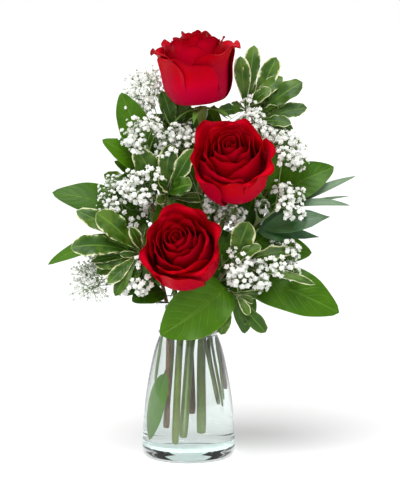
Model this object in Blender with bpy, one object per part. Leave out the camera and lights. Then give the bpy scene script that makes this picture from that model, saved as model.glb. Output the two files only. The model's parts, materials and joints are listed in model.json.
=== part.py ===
"""Three red roses with salal, ruscus, pittosporum and baby's breath in a glass bottle vase of water.

Blender 4.5, metres, +Z up. The origin is the centre of the vase's foot and the arrangement faces -Y.
Every piece is a closed solid. Leaves, petals and flowers keep GAP between them: a leaf or twig is tried at
its own place first, and then swung aside in small steps until it clears what already stands there.
"""

import itertools
import math

import bmesh
import bpy
from mathutils import Matrix, Vector
from mathutils.bvhtree import BVHTree

MM = 0.001
GAP = 0.3 * MM
UP = Vector((0, 0, 1))

# Vase: a bottle with a thick bottom, a ringed neck and a flared mouth
VASE_HEIGHT = 160 * MM
FOOT_RADIUS = 40 * MM
BODY_RADIUS = 46.8 * MM
NECK_RADIUS = 29 * MM
NECK_Z = 126 * MM
MOUTH_RADIUS = 33.5 * MM
WALL = 2.8 * MM
BOTTOM = 11 * MM
VASE_SIDES = 32
WATER_LEVEL = 124 * MM

# Rose heads
HEAD_RADIUS = 38 * MM
HEAD_HEIGHT = 68 * MM
PETAL_THICKNESS = 0.9 * MM
PETALS = 5
PETAL_LIFT = 1.2 * MM
ROSE_STEM_RADIUS = 3.1 * MM
HIP_RADIUS = 7.2 * MM
HIP_HEIGHT = 16 * MM
SEPAL_LENGTH = 30 * MM
SEPAL_WIDTH = 7 * MM

# Greens and baby's breath
LEAF_THICKNESS = 0.9 * MM
PETIOLE_RADIUS = 0.8 * MM
WOODY_RADIUS = 2.7 * MM
SPRIG_RADIUS = 1.9 * MM
TWIG_RADIUS = 0.7 * MM
BABY_STEM_RADIUS = 1.3 * MM
BABY_TWIG_RADIUS = 0.55 * MM
BEAD_RADIUS = 3.6 * MM
BEADS_PER_HEAD = 6
BEAD_SPREAD = 17 * MM


def mm(*values):
    """A point given in millimetres, as a vector in metres."""
    return Vector(values) * MM


# Rose name: (receptacle, axis of the bloom, turn of its petals in degrees, foot of the stem, points on the way up)
ROSES = {
    "rose_top": (mm(12, 8, 353), (-0.10, -0.08, 1.0), 20, mm(-4, 14, 17), [mm(3, 8, 140), mm(9, 28, 196), mm(11, 22, 270)]),
    "rose_middle": (mm(45, -3, 275), (-0.06, -0.76, 0.64), 60, mm(8, 22, 20), [mm(11, 1, 140), mm(26, 15, 215)]),
    "rose_low": (mm(0, -7, 195), (-0.17, -0.84, 0.51), 95, mm(-11, -11, 15), [mm(-6, -13, 140), mm(4, 0, 170)]),
}

# Branch name: (radius, foot, points on the way up, end)
BRANCHES = {
    "salal_stem_left": (WOODY_RADIUS, mm(-18, -15, 31), [mm(-18, -9, 140), mm(-30, -3, 190)], mm(-40, 18, 300)),
    "salal_stem_right": (WOODY_RADIUS, mm(29, 4, 66), [mm(20, 7, 140), mm(42, 13, 190)], mm(80, 18, 268)),
    "salal_stem_back": (WOODY_RADIUS, mm(2, 30, 38), [mm(0, 20, 140), mm(-2, 34, 210)], mm(20, 32, 292)),
}

# Leaf name: (branch, height on it, tip, width, the way the upper side faces, arch of the midrib)
SALAL = {
    "salal_leaf_upper_left": ("salal_stem_left", 296, mm(-67, 10, 366), 32, (-0.2, -0.9, 0.3), 4),
    "salal_leaf_left_pointing": ("salal_stem_left", 284, mm(-84, -10, 321), 26, (0, -0.8, 0.6), 5),
    "salal_leaf_left_small": ("salal_stem_left", 268, mm(-73, 5, 299), 18, (0, -0.6, 0.8), 3),
    "salal_leaf_left_broad": ("salal_stem_left", 238, mm(-136, 0, 268), 36, (0.1, -0.85, 0.5), 7),
    "salal_leaf_left_drooping": ("salal_stem_left", 215, mm(-141, -15, 199), 26, (-0.1, -0.6, 0.8), 10),
    "salal_leaf_front": ("salal_stem_right", 176, mm(-27, -48, 136), 44, (0.1, -1, 0.25), 3),
    "salal_leaf_right_broad": ("salal_stem_right", 190, mm(151, -20, 150), 50, (0, -0.85, 0.5), 10),
    "salal_leaf_right_middle": ("salal_stem_right", 205, mm(124, 5, 207), 36, (0, -0.8, 0.6), 6),
    "salal_leaf_right_upper": ("salal_stem_right", 256, mm(145, 5, 293), 37, (0, -0.9, 0.4), 5),
    "salal_leaf_right_tall": ("salal_stem_right", 262, mm(95, 20, 337), 27, (0.1, -1, 0.1), 4),
    "salal_leaf_right_end": ("salal_stem_right", 266, mm(118, 15, 300), 24, (0.2, -0.9, 0.3), 4),
    "salal_leaf_behind_top": ("salal_stem_back", 288, mm(12, 25, 352), 36, (0, -1, 0.1), -4),
    "salal_leaf_back_upper": ("salal_stem_back", 282, mm(-30, 66, 338), 38, (-0.2, 0.85, 0.4), 6),
    "salal_leaf_back_left": ("salal_stem_back", 225, mm(-72, 66, 246), 42, (-0.3, 0.75, 0.6), 8),
    "salal_leaf_back_right": ("salal_stem_back", 232, mm(78, 70, 236), 42, (0.3, 0.75, 0.6), 8),
    "salal_leaf_back_low": ("salal_stem_back", 188, mm(-12, 92, 158), 42, (0, 0.7, 0.7), 12),
}

# Leaves that hang over the mouth start their blade at the end of a long petiole
PETIOLE_ENDS = {"salal_leaf_front": mm(34, -34, 174)}

# Sprig leaves are (tip, width, the way the upper side faces). A side shoot is (height on the stem, its end, leaves)
FRONT = (0, -0.85, 0.5)
OPEN_FRONT = (0, -0.97, 0.2)
BACK = (0, 0.85, 0.5)
PITTOSPORUM = {
    "pittosporum_top": (
        mm(9, 28, 34),
        [mm(8, 18, 140), mm(28, 30, 240)],
        mm(60, 26, 348),
        [
            (mm(52, 22, 402), 17, OPEN_FRONT),
            (mm(66, 26, 413), 17, OPEN_FRONT),
            (mm(88, 22, 401), 19, OPEN_FRONT),
            (mm(94, 18, 382), 15, FRONT),
            (mm(82, 8, 370), 13, FRONT),
            (mm(30, 4, 347), 13, FRONT),
            (mm(62, 62, 392), 17, BACK),
        ],
        [
            (
                318,
                mm(66, 20, 338),
                [
                    (mm(113, 10, 377), 20, FRONT),
                    (mm(118, 8, 352), 16, FRONT),
                    (mm(102, 2, 336), 13, FRONT),
                    (mm(100, 52, 350), 17, BACK),
                ],
            ),
            (
                255,
                mm(-14, 27, 318),
                [
                    (mm(-26, 14, 367), 16, OPEN_FRONT),
                    (mm(-8, 20, 360), 18, OPEN_FRONT),
                    (mm(10, 16, 340), 14, OPEN_FRONT),
                    (mm(-40, 62, 340), 18, BACK),
                    (mm(0, 62, 352), 18, BACK),
                ],
            ),
        ],
    ),
    "pittosporum_left": (
        mm(-15, 22, 25),
        [mm(-10, 13, 140), mm(-19, 17, 200)],
        mm(-23, 2, 266),
        [
            (mm(-51, -15, 311), 24, FRONT),
            (mm(-18, -14, 315), 19, FRONT),
            (mm(4, -22, 311), 18, FRONT),
            (mm(-28, -26, 280), 16, FRONT),
            (mm(3, -28, 273), 20, FRONT),
        ],
        [
            (
                182,
                mm(-49, -18, 209),
                [
                    (mm(-110, -26, 252), 19, FRONT),
                    (mm(-88, -40, 251), 25, FRONT),
                    (mm(-114, -46, 219), 22, FRONT),
                    (mm(-96, -32, 202), 9, FRONT),
                    (mm(-91, -26, 190), 15, FRONT),
                    (mm(-73, -36, 168), 12, FRONT),
                    (mm(-56, -42, 236), 12, FRONT),
                ],
            ),
            (
                232,
                mm(-44, 40, 252),
                [
                    (mm(-86, 56, 282), 18, BACK),
                    (mm(-50, 74, 276), 18, BACK),
                    (mm(-84, 62, 240), 17, BACK),
                    (mm(-40, 78, 240), 17, BACK),
                ],
            ),
        ],
    ),
    "pittosporum_right": (
        mm(26, -21, 63),
        [mm(11, -13, 140), mm(20, -14, 166), mm(35, -15, 186)],
        mm(46, -15, 200),
        [
            (mm(59, -35, 240), 24, OPEN_FRONT),
            (mm(71, -40, 218), 13, FRONT),
            (mm(103, -25, 213), 15, FRONT),
            (mm(125, -38, 181), 9, FRONT),
        ],
        [
            (
                172,
                mm(46, -30, 169),
                [
                    (mm(32, -44, 135), 14, OPEN_FRONT),
                    (mm(77, -36, 131), 15, OPEN_FRONT),
                    (mm(60, -44, 150), 9, FRONT),
                ],
            ),
        ],
    ),
}
RUSCUS = {
    "ruscus_sprig": (
        mm(30, -12, 52),
        [mm(18, -6, 140), mm(42, -4, 190)],
        mm(70, -9, 232),
        [
            (mm(140, -20, 245), 23, FRONT),
            (mm(109, -12, 223), 17, FRONT),
            (mm(132, 4, 222), 11, FRONT),
            (mm(100, 40, 250), 17, BACK),
        ],
        [],
    ),
    "willow_sprig": (
        mm(19, 21, 48),
        [mm(14, 14, 140), mm(50, 26, 206)],
        mm(92, 12, 252),
        [
            (mm(166, 0, 284), 9, FRONT),
            (mm(161, -5, 255), 8, FRONT),
            (mm(161, 2, 269), 3.5, FRONT),
            (mm(140, 44, 272), 8, BACK),
        ],
        [],
    ),
}
# Baby's breath: foot, points on the way up, end, and the side shoots as (height on the stem, flower head)
BABYS_BREATH = {
    "babys_breath_left": (
        mm(-24, 9, 72),
        [mm(-18, 4, 140), mm(-27, 9, 196), mm(-42, 2, 262)],
        mm(-43, -5, 322),
        [(300, mm(-39, 22, 364)), (225, mm(-68, -4, 262)), (250, mm(-44, -14, 272)), (185, mm(-92, 2, 178)), (176, mm(-46, -16, 184))],
    ),
    "babys_breath_middle": (
        mm(-4, -21, 27),
        [mm(3, -15, 140), mm(11, 1, 178), mm(22, 6, 214)],
        mm(30, -14, 248),
        [(196, mm(33, -30, 197)), (226, mm(-9, 2, 312)), (214, mm(18, 62, 268)), (190, mm(52, 62, 200)), (184, mm(-34, 60, 206))],
    ),
    "babys_breath_right": (
        mm(29, -4, 56),
        [mm(22, 0, 140), mm(33, 2, 176), mm(60, 5, 222)],
        mm(94, -16, 256),
        [(236, mm(63, 4, 327)), (246, mm(94, -6, 306)), (178, mm(58, -30, 187)), (204, mm(88, -24, 211))],
    ),
}
# The leaf under water on the left branch: height on the branch, tip, width, the way the upper side faces
WET_LEAF = (88, mm(-36, -16, 19), 19, (-0.4, -0.9, 0))

# Distances from the end of a twig to the rings that its leaves or flowers leave from
TIP_RINGS = (7 * MM, 3.5 * MM)
# Shares of a leaf's length at which its rows stand, and where it is widest
ROWS = (0.05, 0.16, 0.32, 0.5, 0.68, 0.86)
OVATE = 0.42
OBOVATE = 0.64
LANCE = 0.5


class Clearings:
    """What already stands, as search trees, so that a new piece can be tried against it."""

    def __init__(self):
        self.trees = []

    def add(self, name, points, polygons):
        self.trees.append((name, BVHTree.FromPolygons(points, polygons)))

    def add_object(self, obj):
        bpy.context.view_layer.update()
        solid = obj.evaluated_get(bpy.context.evaluated_depsgraph_get())
        mesh = solid.to_mesh()
        points = [solid.matrix_world @ vert.co for vert in mesh.vertices]
        self.add(obj.name, points, [tuple(face.vertices) for face in mesh.polygons])
        solid.to_mesh_clear()

    def is_free(self, points, polygons, apart_from=None):
        tree = BVHTree.FromPolygons(points, polygons)
        return not any(tree.overlap(other) for name, other in self.trees if name != apart_from)


standing = Clearings()


def material(name, colour, roughness, transmission=0.0):
    made = bpy.data.materials.new(name)
    made.use_nodes = True
    shader = made.node_tree.nodes["Principled BSDF"]
    shader.inputs["Base Color"].default_value = (*colour, 1)
    shader.inputs["Roughness"].default_value = roughness
    shader.inputs["Metallic"].default_value = 0.0
    shader.inputs["Transmission Weight"].default_value = transmission
    made.diffuse_color = (*colour, 1)
    return made


def make_materials():
    return {
        "glass": material("glass", (0.86, 0.94, 0.92), 0.02, 0.95),
        "water": material("water", (0.9, 0.97, 0.96), 0.0, 0.95),
        "petal": material("petal", (0.5, 0.004, 0.012), 0.5),
        "stem": material("stem", (0.13, 0.25, 0.04), 0.5),
        "bark": material("bark", (0.16, 0.07, 0.03), 0.7),
        "salal": material("salal", (0.07, 0.2, 0.02), 0.35),
        "pittosporum": material("pittosporum", (0.12, 0.24, 0.06), 0.4),
        "ruscus": material("ruscus", (0.03, 0.13, 0.03), 0.3),
        "willow": material("willow", (0.15, 0.24, 0.13), 0.5),
        "babys_breath": material("babys_breath", (0.85, 0.87, 0.8), 0.8),
    }


def clear_scene():
    for obj in list(bpy.data.objects):
        bpy.data.objects.remove(obj)


def new_object(name, bm, finish, parent=None):
    """Closes the bmesh into a named object that stands as one solid."""
    bmesh.ops.recalc_face_normals(bm, faces=bm.faces)
    mesh = bpy.data.meshes.new(name)
    bm.to_mesh(mesh)
    bm.free()
    mesh.materials.append(finish)
    mesh.shade_smooth()
    mesh.set_sharp_from_angle(angle=math.radians(50))
    obj = bpy.data.objects.new(name, mesh)
    bpy.context.scene.collection.objects.link(obj)
    obj.parent = parent
    return obj


def smooth_line(points, count):
    """Points evenly numbered along a Catmull-Rom curve through the given points."""
    points = [Vector(point) for point in points]
    ends = [2 * points[0] - points[1], *points, 2 * points[-1] - points[-2]]
    line = []
    for step in range(count):
        at = step / (count - 1) * (len(points) - 1)
        span = min(int(at), len(points) - 2)
        t = at - span
        a, b, c, d = ends[span : span + 4]
        line.append(
            0.5 * (2 * b + (c - a) * t + (2 * a - 5 * b + 4 * c - d) * t**2 + (3 * b - a - 3 * c + d) * t**3)
        )
    return line


def along(line, distances):
    """The points at the given distances along a line."""
    points = []
    passed, spans = 0.0, list(zip(line, line[1:]))
    for distance in distances:
        while len(spans) > 1 and passed + (spans[0][1] - spans[0][0]).length < distance:
            passed += (spans[0][1] - spans[0][0]).length
            spans.pop(0)
        start, end = spans[0]
        points.append(start.lerp(end, min(1.0, (distance - passed) / (end - start).length)))
    return points


def stations(line, step, heights=(), spread=2.2 * MM, ends=()):
    """Distances for a stem's rings: even steps, a pair around each shoot, and close together at the end."""
    lengths = [0.0]
    for start, end in zip(line, line[1:]):
        lengths.append(lengths[-1] + (end - start).length)
    total = lengths[-1]
    pairs = [total - end for end in ends]
    for height in heights:
        middle = next((far for far, point in zip(lengths, line) if point.z >= height), total * 0.9)
        pairs += [middle - spread, middle + spread]
    even = [total * index / round(total / step) for index in range(1, round(total / step))]
    even = [distance for distance in even if all(abs(distance - pair) > 5 * MM for pair in pairs)]
    return sorted([0.0, total, *pairs, *even])


# Turned pieces


def lathe(name, outline, sides, finish, parent=None):
    """A solid turned from an outline of (radius, height) points that starts and ends on the axis."""
    bm = bmesh.new()
    verts = [bm.verts.new((radius, 0, height)) for radius, height in outline]
    edges = [bm.edges.new(pair) for pair in zip(verts, verts[1:])]
    bmesh.ops.spin(
        bm, geom=verts + edges, axis=UP, cent=(0, 0, 0), angle=math.tau, steps=sides, use_duplicate=False
    )
    bmesh.ops.remove_doubles(bm, verts=bm.verts, dist=1e-6)
    return new_object(name, bm, finish, parent)


def outer_wall():
    """The vase's outer side from the foot to the mouth."""
    heel = [(FOOT_RADIUS, 0), (FOOT_RADIUS + 5 * MM, 2 * MM), (BODY_RADIUS, 10 * MM)]
    side = [
        (BODY_RADIUS, 16 * MM),
        (BODY_RADIUS - 3.2 * MM, 59 * MM),
        (BODY_RADIUS - 8.2 * MM, NECK_Z - 36 * MM),
        (NECK_RADIUS + 5 * MM, NECK_Z - 16 * MM),
        (NECK_RADIUS, NECK_Z - 2 * MM),
    ]
    ring = [(NECK_RADIUS + 1.4 * MM, NECK_Z + 1 * MM), (NECK_RADIUS - 0.4 * MM, NECK_Z + 4 * MM)]
    flare = [
        (NECK_RADIUS - 0.4 * MM, NECK_Z + 12 * MM),
        (NECK_RADIUS + 1.6 * MM, NECK_Z + 24 * MM),
        (MOUTH_RADIUS, VASE_HEIGHT - 2.5 * MM),
    ]
    body = [tuple(point) for point in smooth_line(side, 9)]
    return heel + body + ring + flare


def inner_wall(gap=0.0):
    """The vase's inner side from the floor to the mouth, drawn in by a further gap."""
    inset = WALL + gap
    floor = [(BODY_RADIUS - inset - 7 * MM, BOTTOM + gap), (BODY_RADIUS - inset - 0.6 * MM, BOTTOM + 5 * MM)]
    side = [
        (BODY_RADIUS - inset, 22 * MM),
        (BODY_RADIUS - 3.2 * MM - inset, 59 * MM),
        (BODY_RADIUS - 8.2 * MM - inset, NECK_Z - 36 * MM),
        (NECK_RADIUS + 5 * MM - inset, NECK_Z - 16 * MM),
        (NECK_RADIUS - inset, NECK_Z),
        (NECK_RADIUS - inset, NECK_Z + 12 * MM),
        (NECK_RADIUS + 1.6 * MM - inset, NECK_Z + 24 * MM),
        (MOUTH_RADIUS - inset, VASE_HEIGHT - 2.5 * MM),
    ]
    return floor + side


def make_vase(finish):
    lip = [(MOUTH_RADIUS - 0.5 * WALL, VASE_HEIGHT)]
    outline = [(0, 0), *outer_wall(), *lip, *reversed(inner_wall()), (0, BOTTOM)]
    return lathe("vase", outline, VASE_SIDES, finish)


def make_water(finish, wet):
    """The water fills the vase to its level, and keeps clear of everything that stands in it."""
    wall = inner_wall(GAP)
    below = [point for point in wall if point[1] < WATER_LEVEL]
    above = next(point for point in wall if point[1] >= WATER_LEVEL)
    share = (WATER_LEVEL - below[-1][1]) / (above[1] - below[-1][1])
    edge = below[-1][0] + share * (above[0] - below[-1][0])
    outline = [(0, BOTTOM + GAP), *below, (edge, WATER_LEVEL), (0, WATER_LEVEL)]
    water = lathe("water", outline, VASE_SIDES, finish)
    for piece in wet:
        cut = water.modifiers.new(piece.name, "BOOLEAN")
        cut.operation = "DIFFERENCE"
        cut.object = piece
    return water


# Stems, twigs and leaves grow from one face to the next


def ring_at(centre, forward, radius, sides, side=None):
    """A ring of points around a centre, square to the forward direction."""
    side = side or Vector((0, -1, 0))
    across = forward.cross(side)
    if across.length < 1e-6:
        across = forward.cross(Vector((1, 0, 0)))
    across.normalize()
    other = forward.cross(across).normalized()
    turns = [math.tau * (step + 0.5) / sides for step in range(sides)]
    return [centre + radius * (math.cos(a) * across + math.sin(a) * other) for a in turns]


def tube_rings(line, radii, sides):
    """Rings along a line, each square to it."""
    rings = []
    for index, (point, radius) in enumerate(zip(line, radii)):
        before = line[max(index - 1, 0)]
        after = line[min(index + 1, len(line) - 1)]
        rings.append(ring_at(point, (after - before).normalized(), radius, sides))
    return rings


def matched(corners, row, forward):
    """The order in which a row's points fit the corners of the face that they grow from."""
    order = list(range(len(row)))
    centre = sum(row, Vector()) / len(row)
    turned = sum(((row[i - 1] - centre).cross(row[i] - centre) for i in order), Vector())
    if turned.dot(forward) < 0:
        order.reverse()
    middle = sum(corners, Vector()) / len(corners)

    def distance(turn):
        moved = order[turn:] + order[:turn]
        return sum(((row[i] - centre) - (c - middle)).length_squared for i, c in zip(moved, corners))

    turn = min(order, key=distance)
    return order[turn:] + order[:turn]


def grow(bm, face, rows, tip=None):
    """Extrudes a face through rows of points and, if it has a tip, closes it there. Returns the last face."""
    order = None
    for row in rows:
        centre = sum(row, Vector()) / len(row)
        forward = centre - face.calc_center_median()
        face = bmesh.ops.extrude_discrete_faces(bm, faces=[face])["faces"][0]
        corners = [loop.vert for loop in face.loops]
        if order is None:
            order = matched([vert.co.copy() for vert in corners], row, forward)
        for vert, index in zip(corners, order):
            vert.co = row[index]
    if tip is not None:
        bmesh.ops.pointmerge(bm, verts=list(face.verts), merge_co=tip)
    return face


def start_face(bm, ring):
    return bm.faces.new([bm.verts.new(point) for point in ring])


def close_start(bm):
    """Fills the open end that the first extrusion leaves behind it."""
    bmesh.ops.holes_fill(bm, edges=[edge for edge in bm.edges if edge.is_boundary])


def walls_between(rings, tip=None):
    """Points and polygons of the skin over rows of equal length, for trying a place before growing there."""
    points = [point for ring in rings for point in ring]
    size = len(rings[0])
    polygons = []
    for start in range(0, size * (len(rings) - 1), size):
        for step in range(size):
            after = (step + 1) % size
            polygons.append((start + step, start + after, start + size + after, start + size + step))
    if tip is not None:
        last = size * (len(rings) - 1)
        points.append(tip)
        polygons += [(last + step, last + (step + 1) % size, len(points) - 1) for step in range(size)]
    return points, polygons


def aside(step, most):
    """Distances that go out to both sides in turn: 0, -step, step, -2 step, ..."""
    yield 0.0
    for count in range(1, int(most / step) + 1):
        yield -count * step
        yield count * step


def blade_rows(base, tip, width, facing, arch, widest, rows=ROWS, spare=0.0):
    """Rows of four points, left edge, underside, right edge and upper side, along a leaf with a keeled blade."""
    facing = Vector(facing).normalized()
    along = tip - base
    across = along.cross(facing).normalized()
    upper = across.cross(along).normalized()
    power = math.log(0.5) / math.log(widest)
    made = []
    for share in rows:
        centre = base + along * share + upper * arch * math.sin(math.pi * share)
        full = math.sin(math.pi * share**power) ** 0.85
        half = max(0.5 * width * full, PETIOLE_RADIUS) + spare
        thick = 0.5 * (LEAF_THICKNESS if half > 2 * PETIOLE_RADIUS else 1.6 * PETIOLE_RADIUS) + spare
        lift = 0.14 * half * upper
        made.append(
            [centre - across * half + lift, centre - upper * thick, centre + across * half + lift, centre + upper * thick]
        )
    return made


def find_blade(plant, base, tip, width, facing, arch, widest, reach=40 * MM):
    """A leaf's base, tip and arch at the first place, going outwards from the wished one, that is clear."""
    toward = Vector((0, 1, 0.15)).normalized()
    step = 3 * MM
    for depth, bend, lift in itertools.product(
        aside(step, reach), (0, 4 * MM, -4 * MM, 9 * MM, -9 * MM, 15 * MM), (0, 5 * MM, -5 * MM)
    ):
        end = tip + toward * depth + UP * lift
        rows = blade_rows(base, end, width, facing, arch + bend, widest, spare=GAP)
        root = [ring_at(base, (end - base).normalized(), PETIOLE_RADIUS + GAP, 4), *rows[:2]]
        if standing.is_free(*walls_between(rows[1:], end)) and standing.is_free(*walls_between(root), plant):
            return end, arch + bend
    raise ValueError(f"a leaf of {plant} finds no clear place near {tip}")


def grow_leaf(bm, face, plant, tip, width, facing, arch, widest):
    base = face.calc_center_median()
    tip, arch = find_blade(plant, base, tip, width, facing, arch, widest)
    rows = blade_rows(base, tip, width, facing, arch, widest)
    grow(bm, face, rows, tip)
    standing.add(plant, *walls_between(rows, tip))


def find_route(plant, points, radius, sides, heights=(), step=28 * MM, ends=(), held=1, taper=0.55):
    """Rings of a stem through the points. Those between the second and the held end swing aside until it is clear."""
    ways = itertools.product((0, 9 * MM, -9 * MM, 18 * MM), aside(4 * MM, 45 * MM), aside(5 * MM, 25 * MM))
    for rise, depth, sideways in ways:
        moved = list(points)
        for index in range(2, len(points) - held):
            moved[index] = points[index] + Vector((sideways, depth, rise))
        line = smooth_line(moved, 61)
        distances = stations(line, step, heights, ends=ends)
        line = along(line, distances)
        radii = [radius * (1 + (taper - 1) * distance / distances[-1]) for distance in distances]
        wide = tube_rings(line, [size + GAP for size in radii], sides)
        root_free = standing.is_free(*walls_between(wide[:2]), plant)
        if root_free and standing.is_free(*walls_between(wide[1:], line[-1])):
            return tube_rings(line, radii, sides)
    return None


def make_stem(name, foot, way, end, radius, heights=(), ends=(), sides=6):
    """A tapered stem from its cut foot to its end. Returns the bmesh, its points, last face and walls for shoots."""
    rings = find_route(name, [foot, *way, end], radius, sides, heights, ends=ends)
    if not rings:
        raise ValueError(f"{name} finds no clear route")
    bm = bmesh.new()
    last = grow(bm, start_face(bm, rings[0]), rings[1:])
    close_start(bm)
    bmesh.ops.recalc_face_normals(bm, faces=bm.faces)
    bm.normal_update()
    standing.add(name, *walls_between(rings, end))
    line = [sum(ring, Vector()) / len(ring) for ring in rings]
    return bm, line, last, [face for face in bm.faces if len(face.verts) == 4]


def clear_ends(end, room=3 * MM):
    """The wished end and others around it, where a small block of air is free."""
    for depth, lift in itertools.product(aside(6 * MM, 24 * MM), aside(6 * MM, 18 * MM)):
        spot = end + Vector((0, depth, lift))
        block = [ring_at(spot - UP * room, UP, room, 4), ring_at(spot + UP * room, UP, room, 4)]
        if standing.is_free(*walls_between(block, spot + 1.1 * UP * room)):
            yield spot


def grow_shoot(bm, walls, name, height, wish, radius):
    """A square twig from the free wall of the stem that suits it best and lets it pass. Returns last face and end."""
    toward = (wish - Vector((0, 0, height * MM))).normalized()

    def cost(wall):
        return abs(wall.calc_center_median().z - height * MM) / (9 * MM) - wall.normal.dot(toward)

    free = sorted((face for face in walls if face.is_valid), key=cost)[:16]
    for end, wall in itertools.product(clear_ends(wish), free):
        start = wall.calc_center_median()
        out = start + wall.normal * 5 * MM
        points = [start, out, (out + end) / 2 + UP * 3 * MM, end]
        rings = find_route(name, points, radius, 4, step=14 * MM, ends=TIP_RINGS, taper=1.0)
        if rings:
            last = grow(bm, wall, rings[1:])
            bm.normal_update()
            standing.add(name, *walls_between(rings, end))
            return last, end
    raise ValueError(f"{name} at {height} finds no clear route")


def walls_near(last):
    """The square faces of the last two rows before the end of a twig, and the end itself if it is square."""
    near = {face for edge in last.edges for face in edge.link_faces} | {last}
    beyond = {face for wall in near for edge in wall.edges for face in edge.link_faces}
    return [face for face in near | beyond if len(face.verts) == 4]


def grow_around(bm, last, end, wishes, grow_one):
    """Grows a leaf or flower toward each wish from the free face near the end that looks at it best."""
    free = walls_near(last)
    for number, wish in enumerate(wishes):
        bm.normal_update()
        free = [face for face in free if face.is_valid]
        toward = (wish - end).normalized()
        face = max(free, key=lambda f: (round(f.normal.dot(toward), 3), *f.calc_center_median()))
        free.remove(face)
        grow_one(face, number)


def grow_whorl(bm, last, end, name, leaves, widest):
    def grow_one(face, number):
        tip, width, facing = leaves[number]
        grow_leaf(bm, face, name, tip, width * MM, facing, 3 * MM, widest)

    grow_around(bm, last, end, [tip for tip, _, _ in leaves], grow_one)


def make_sprig(name, sprig, radius, finish, widest):
    foot, way, end, leaves, shoots = sprig
    heights = [height * MM for height, _, _ in shoots]
    bm, _, last, walls = make_stem(name, foot, way, end, radius, heights, TIP_RINGS)
    tips = [(last, end, leaves)]
    for height, place, shoot_leaves in shoots:
        tips.append((*grow_shoot(bm, walls, name, height, place, TWIG_RADIUS * 1.3), shoot_leaves))
    for face, place, some_leaves in tips:
        grow_whorl(bm, face, place, name, some_leaves, widest)
    return new_object(name, bm, finish)


# Baby's breath: thin stems that end in heads of small round flowers


def bead_rows(start, end, radius, spare=0.0):
    """Rows of a thread that swells into a bead at its end."""
    along = (end - start).normalized()
    profile = ((0.45, BABY_TWIG_RADIUS), (0.8, 0.85 * radius), (1.0, radius), (1.12, 0.6 * radius))
    reach = (end - start).length
    return [ring_at(start + along * reach * share, along, size + spare, 4) for share, size in profile]


def grow_bead(bm, face, plant, wish):
    """A flower on a thread toward its wish, or a little to the side. One that has no room is left out."""
    start = face.calc_center_median()
    for turn, reach, lean in itertools.product(aside(18, 162), (1.0, 0.75, 1.2), (0.0, 0.35, 0.7)):
        toward = (wish - start).lerp(face.normal * BEAD_SPREAD, lean) * reach
        toward = Matrix.Rotation(math.radians(turn), 3, face.normal) @ toward
        end = start + toward
        tip = start + toward * 1.2
        rows = bead_rows(start, end, BEAD_RADIUS, GAP)
        root = [ring_at(start, toward.normalized(), BABY_TWIG_RADIUS + GAP, 4), rows[0]]
        if standing.is_free(*walls_between(rows, tip)) and standing.is_free(*walls_between(root), plant):
            grow(bm, face, bead_rows(start, end, BEAD_RADIUS), tip)
            standing.add(plant, *walls_between(rows, tip))
            return


def grow_head(bm, last, centre, plant):
    """Beads around the end of a twig, spread by the golden angle over a dome that looks up and outwards."""
    outward = (centre - Vector((0, 0, centre.z - 60 * MM))).normalized()
    turn = outward.to_track_quat("Z", "Y").to_matrix()
    wishes = []
    for number in range(BEADS_PER_HEAD):
        lean = math.radians(95) * math.sqrt((number + 0.5) / BEADS_PER_HEAD)
        around = number * math.radians(137.5)
        toward = Vector((math.sin(lean) * math.cos(around), math.sin(lean) * math.sin(around), math.cos(lean)))
        wishes.append(centre + turn @ toward * BEAD_SPREAD)
    grow_around(bm, last, centre, wishes, lambda face, number: grow_bead(bm, face, plant, wishes[number]))


def make_babys_breath(name, plant, finish):
    foot, way, end, shoots = plant
    heights = [height * MM for height, _ in shoots]
    bm, _, last, walls = make_stem(name, foot, way, end, BABY_STEM_RADIUS, heights, TIP_RINGS, sides=5)
    heads = [(last, end)]
    for height, place in shoots:
        heads.append(grow_shoot(bm, walls, name, height, place, BABY_TWIG_RADIUS))
    for face, place in heads:
        grow_head(bm, face, place, name)
    return new_object(name, bm, finish)


# Roses


def head_outline(points):
    return [(radius * HEAD_RADIUS, height * HEAD_HEIGHT) for radius, height in points]


# Shares of HEAD_RADIUS and HEAD_HEIGHT, from the receptacle to the rim
PETAL_OUTLINE = ((0.14, 0.0), (0.5, 0.06), (0.84, 0.24), (0.98, 0.5), (1.0, 0.72), (1.1, 0.86))
HEART_OUTLINE = ((0.1, 0.03), (0.4, 0.13), (0.68, 0.32), (0.8, 0.56), (0.74, 0.82), (0.52, 0.98), (0.2, 1.06))
PINWHEEL = 0.055


def petal_point(up, sideways):
    """A point of a guard petal: up from 0 at its claw to 1 at its rim, sideways from -1 to 1."""
    outline = head_outline(PETAL_OUTLINE)
    reach = up * (1 - 0.1 * abs(sideways) ** 2.5)
    spot = smooth_line(outline, 41)[round(40 * reach)]
    half = math.radians(26 + 24 * min(1.0, max(0.0, (up - 0.25) / 0.4)))
    angle = half * sideways
    curl = 3 * MM * max(0.0, up - 0.6) / 0.4 * max(0.0, sideways) ** 3
    radius = spot[0] * (1 + PINWHEEL * sideways) + curl
    return Vector((radius * math.cos(angle), radius * math.sin(angle), spot[1] + PETAL_LIFT - curl))


def make_petal(name, number, finish, parent):
    columns, rows = 5, 6
    bm = bmesh.new()
    grid = [
        [bm.verts.new(petal_point(row / rows, 2 * column / (columns - 1) - 1)) for column in range(columns)]
        for row in range(rows + 1)
    ]
    for low, high in zip(grid, grid[1:]):
        for left in range(columns - 1):
            bm.faces.new((low[left], low[left + 1], high[left + 1], high[left]))
    petal = new_object(f"{name}_petal_{number + 1}", bm, finish, parent)
    petal.rotation_euler.z = number * math.tau / PETALS
    wall = petal.modifiers.new("thickness", "SOLIDIFY")
    wall.thickness = PETAL_THICKNESS
    wall.offset = 0.0
    return petal


def make_heart(name, finish, parent):
    """The furled inner petals as one bud."""
    outline = [(0, HEART_OUTLINE[0][1] * HEAD_HEIGHT), *head_outline(HEART_OUTLINE), (0, 1.03 * HEAD_HEIGHT)]
    return lathe(f"{name}_heart", outline, 16, finish, parent)


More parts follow.
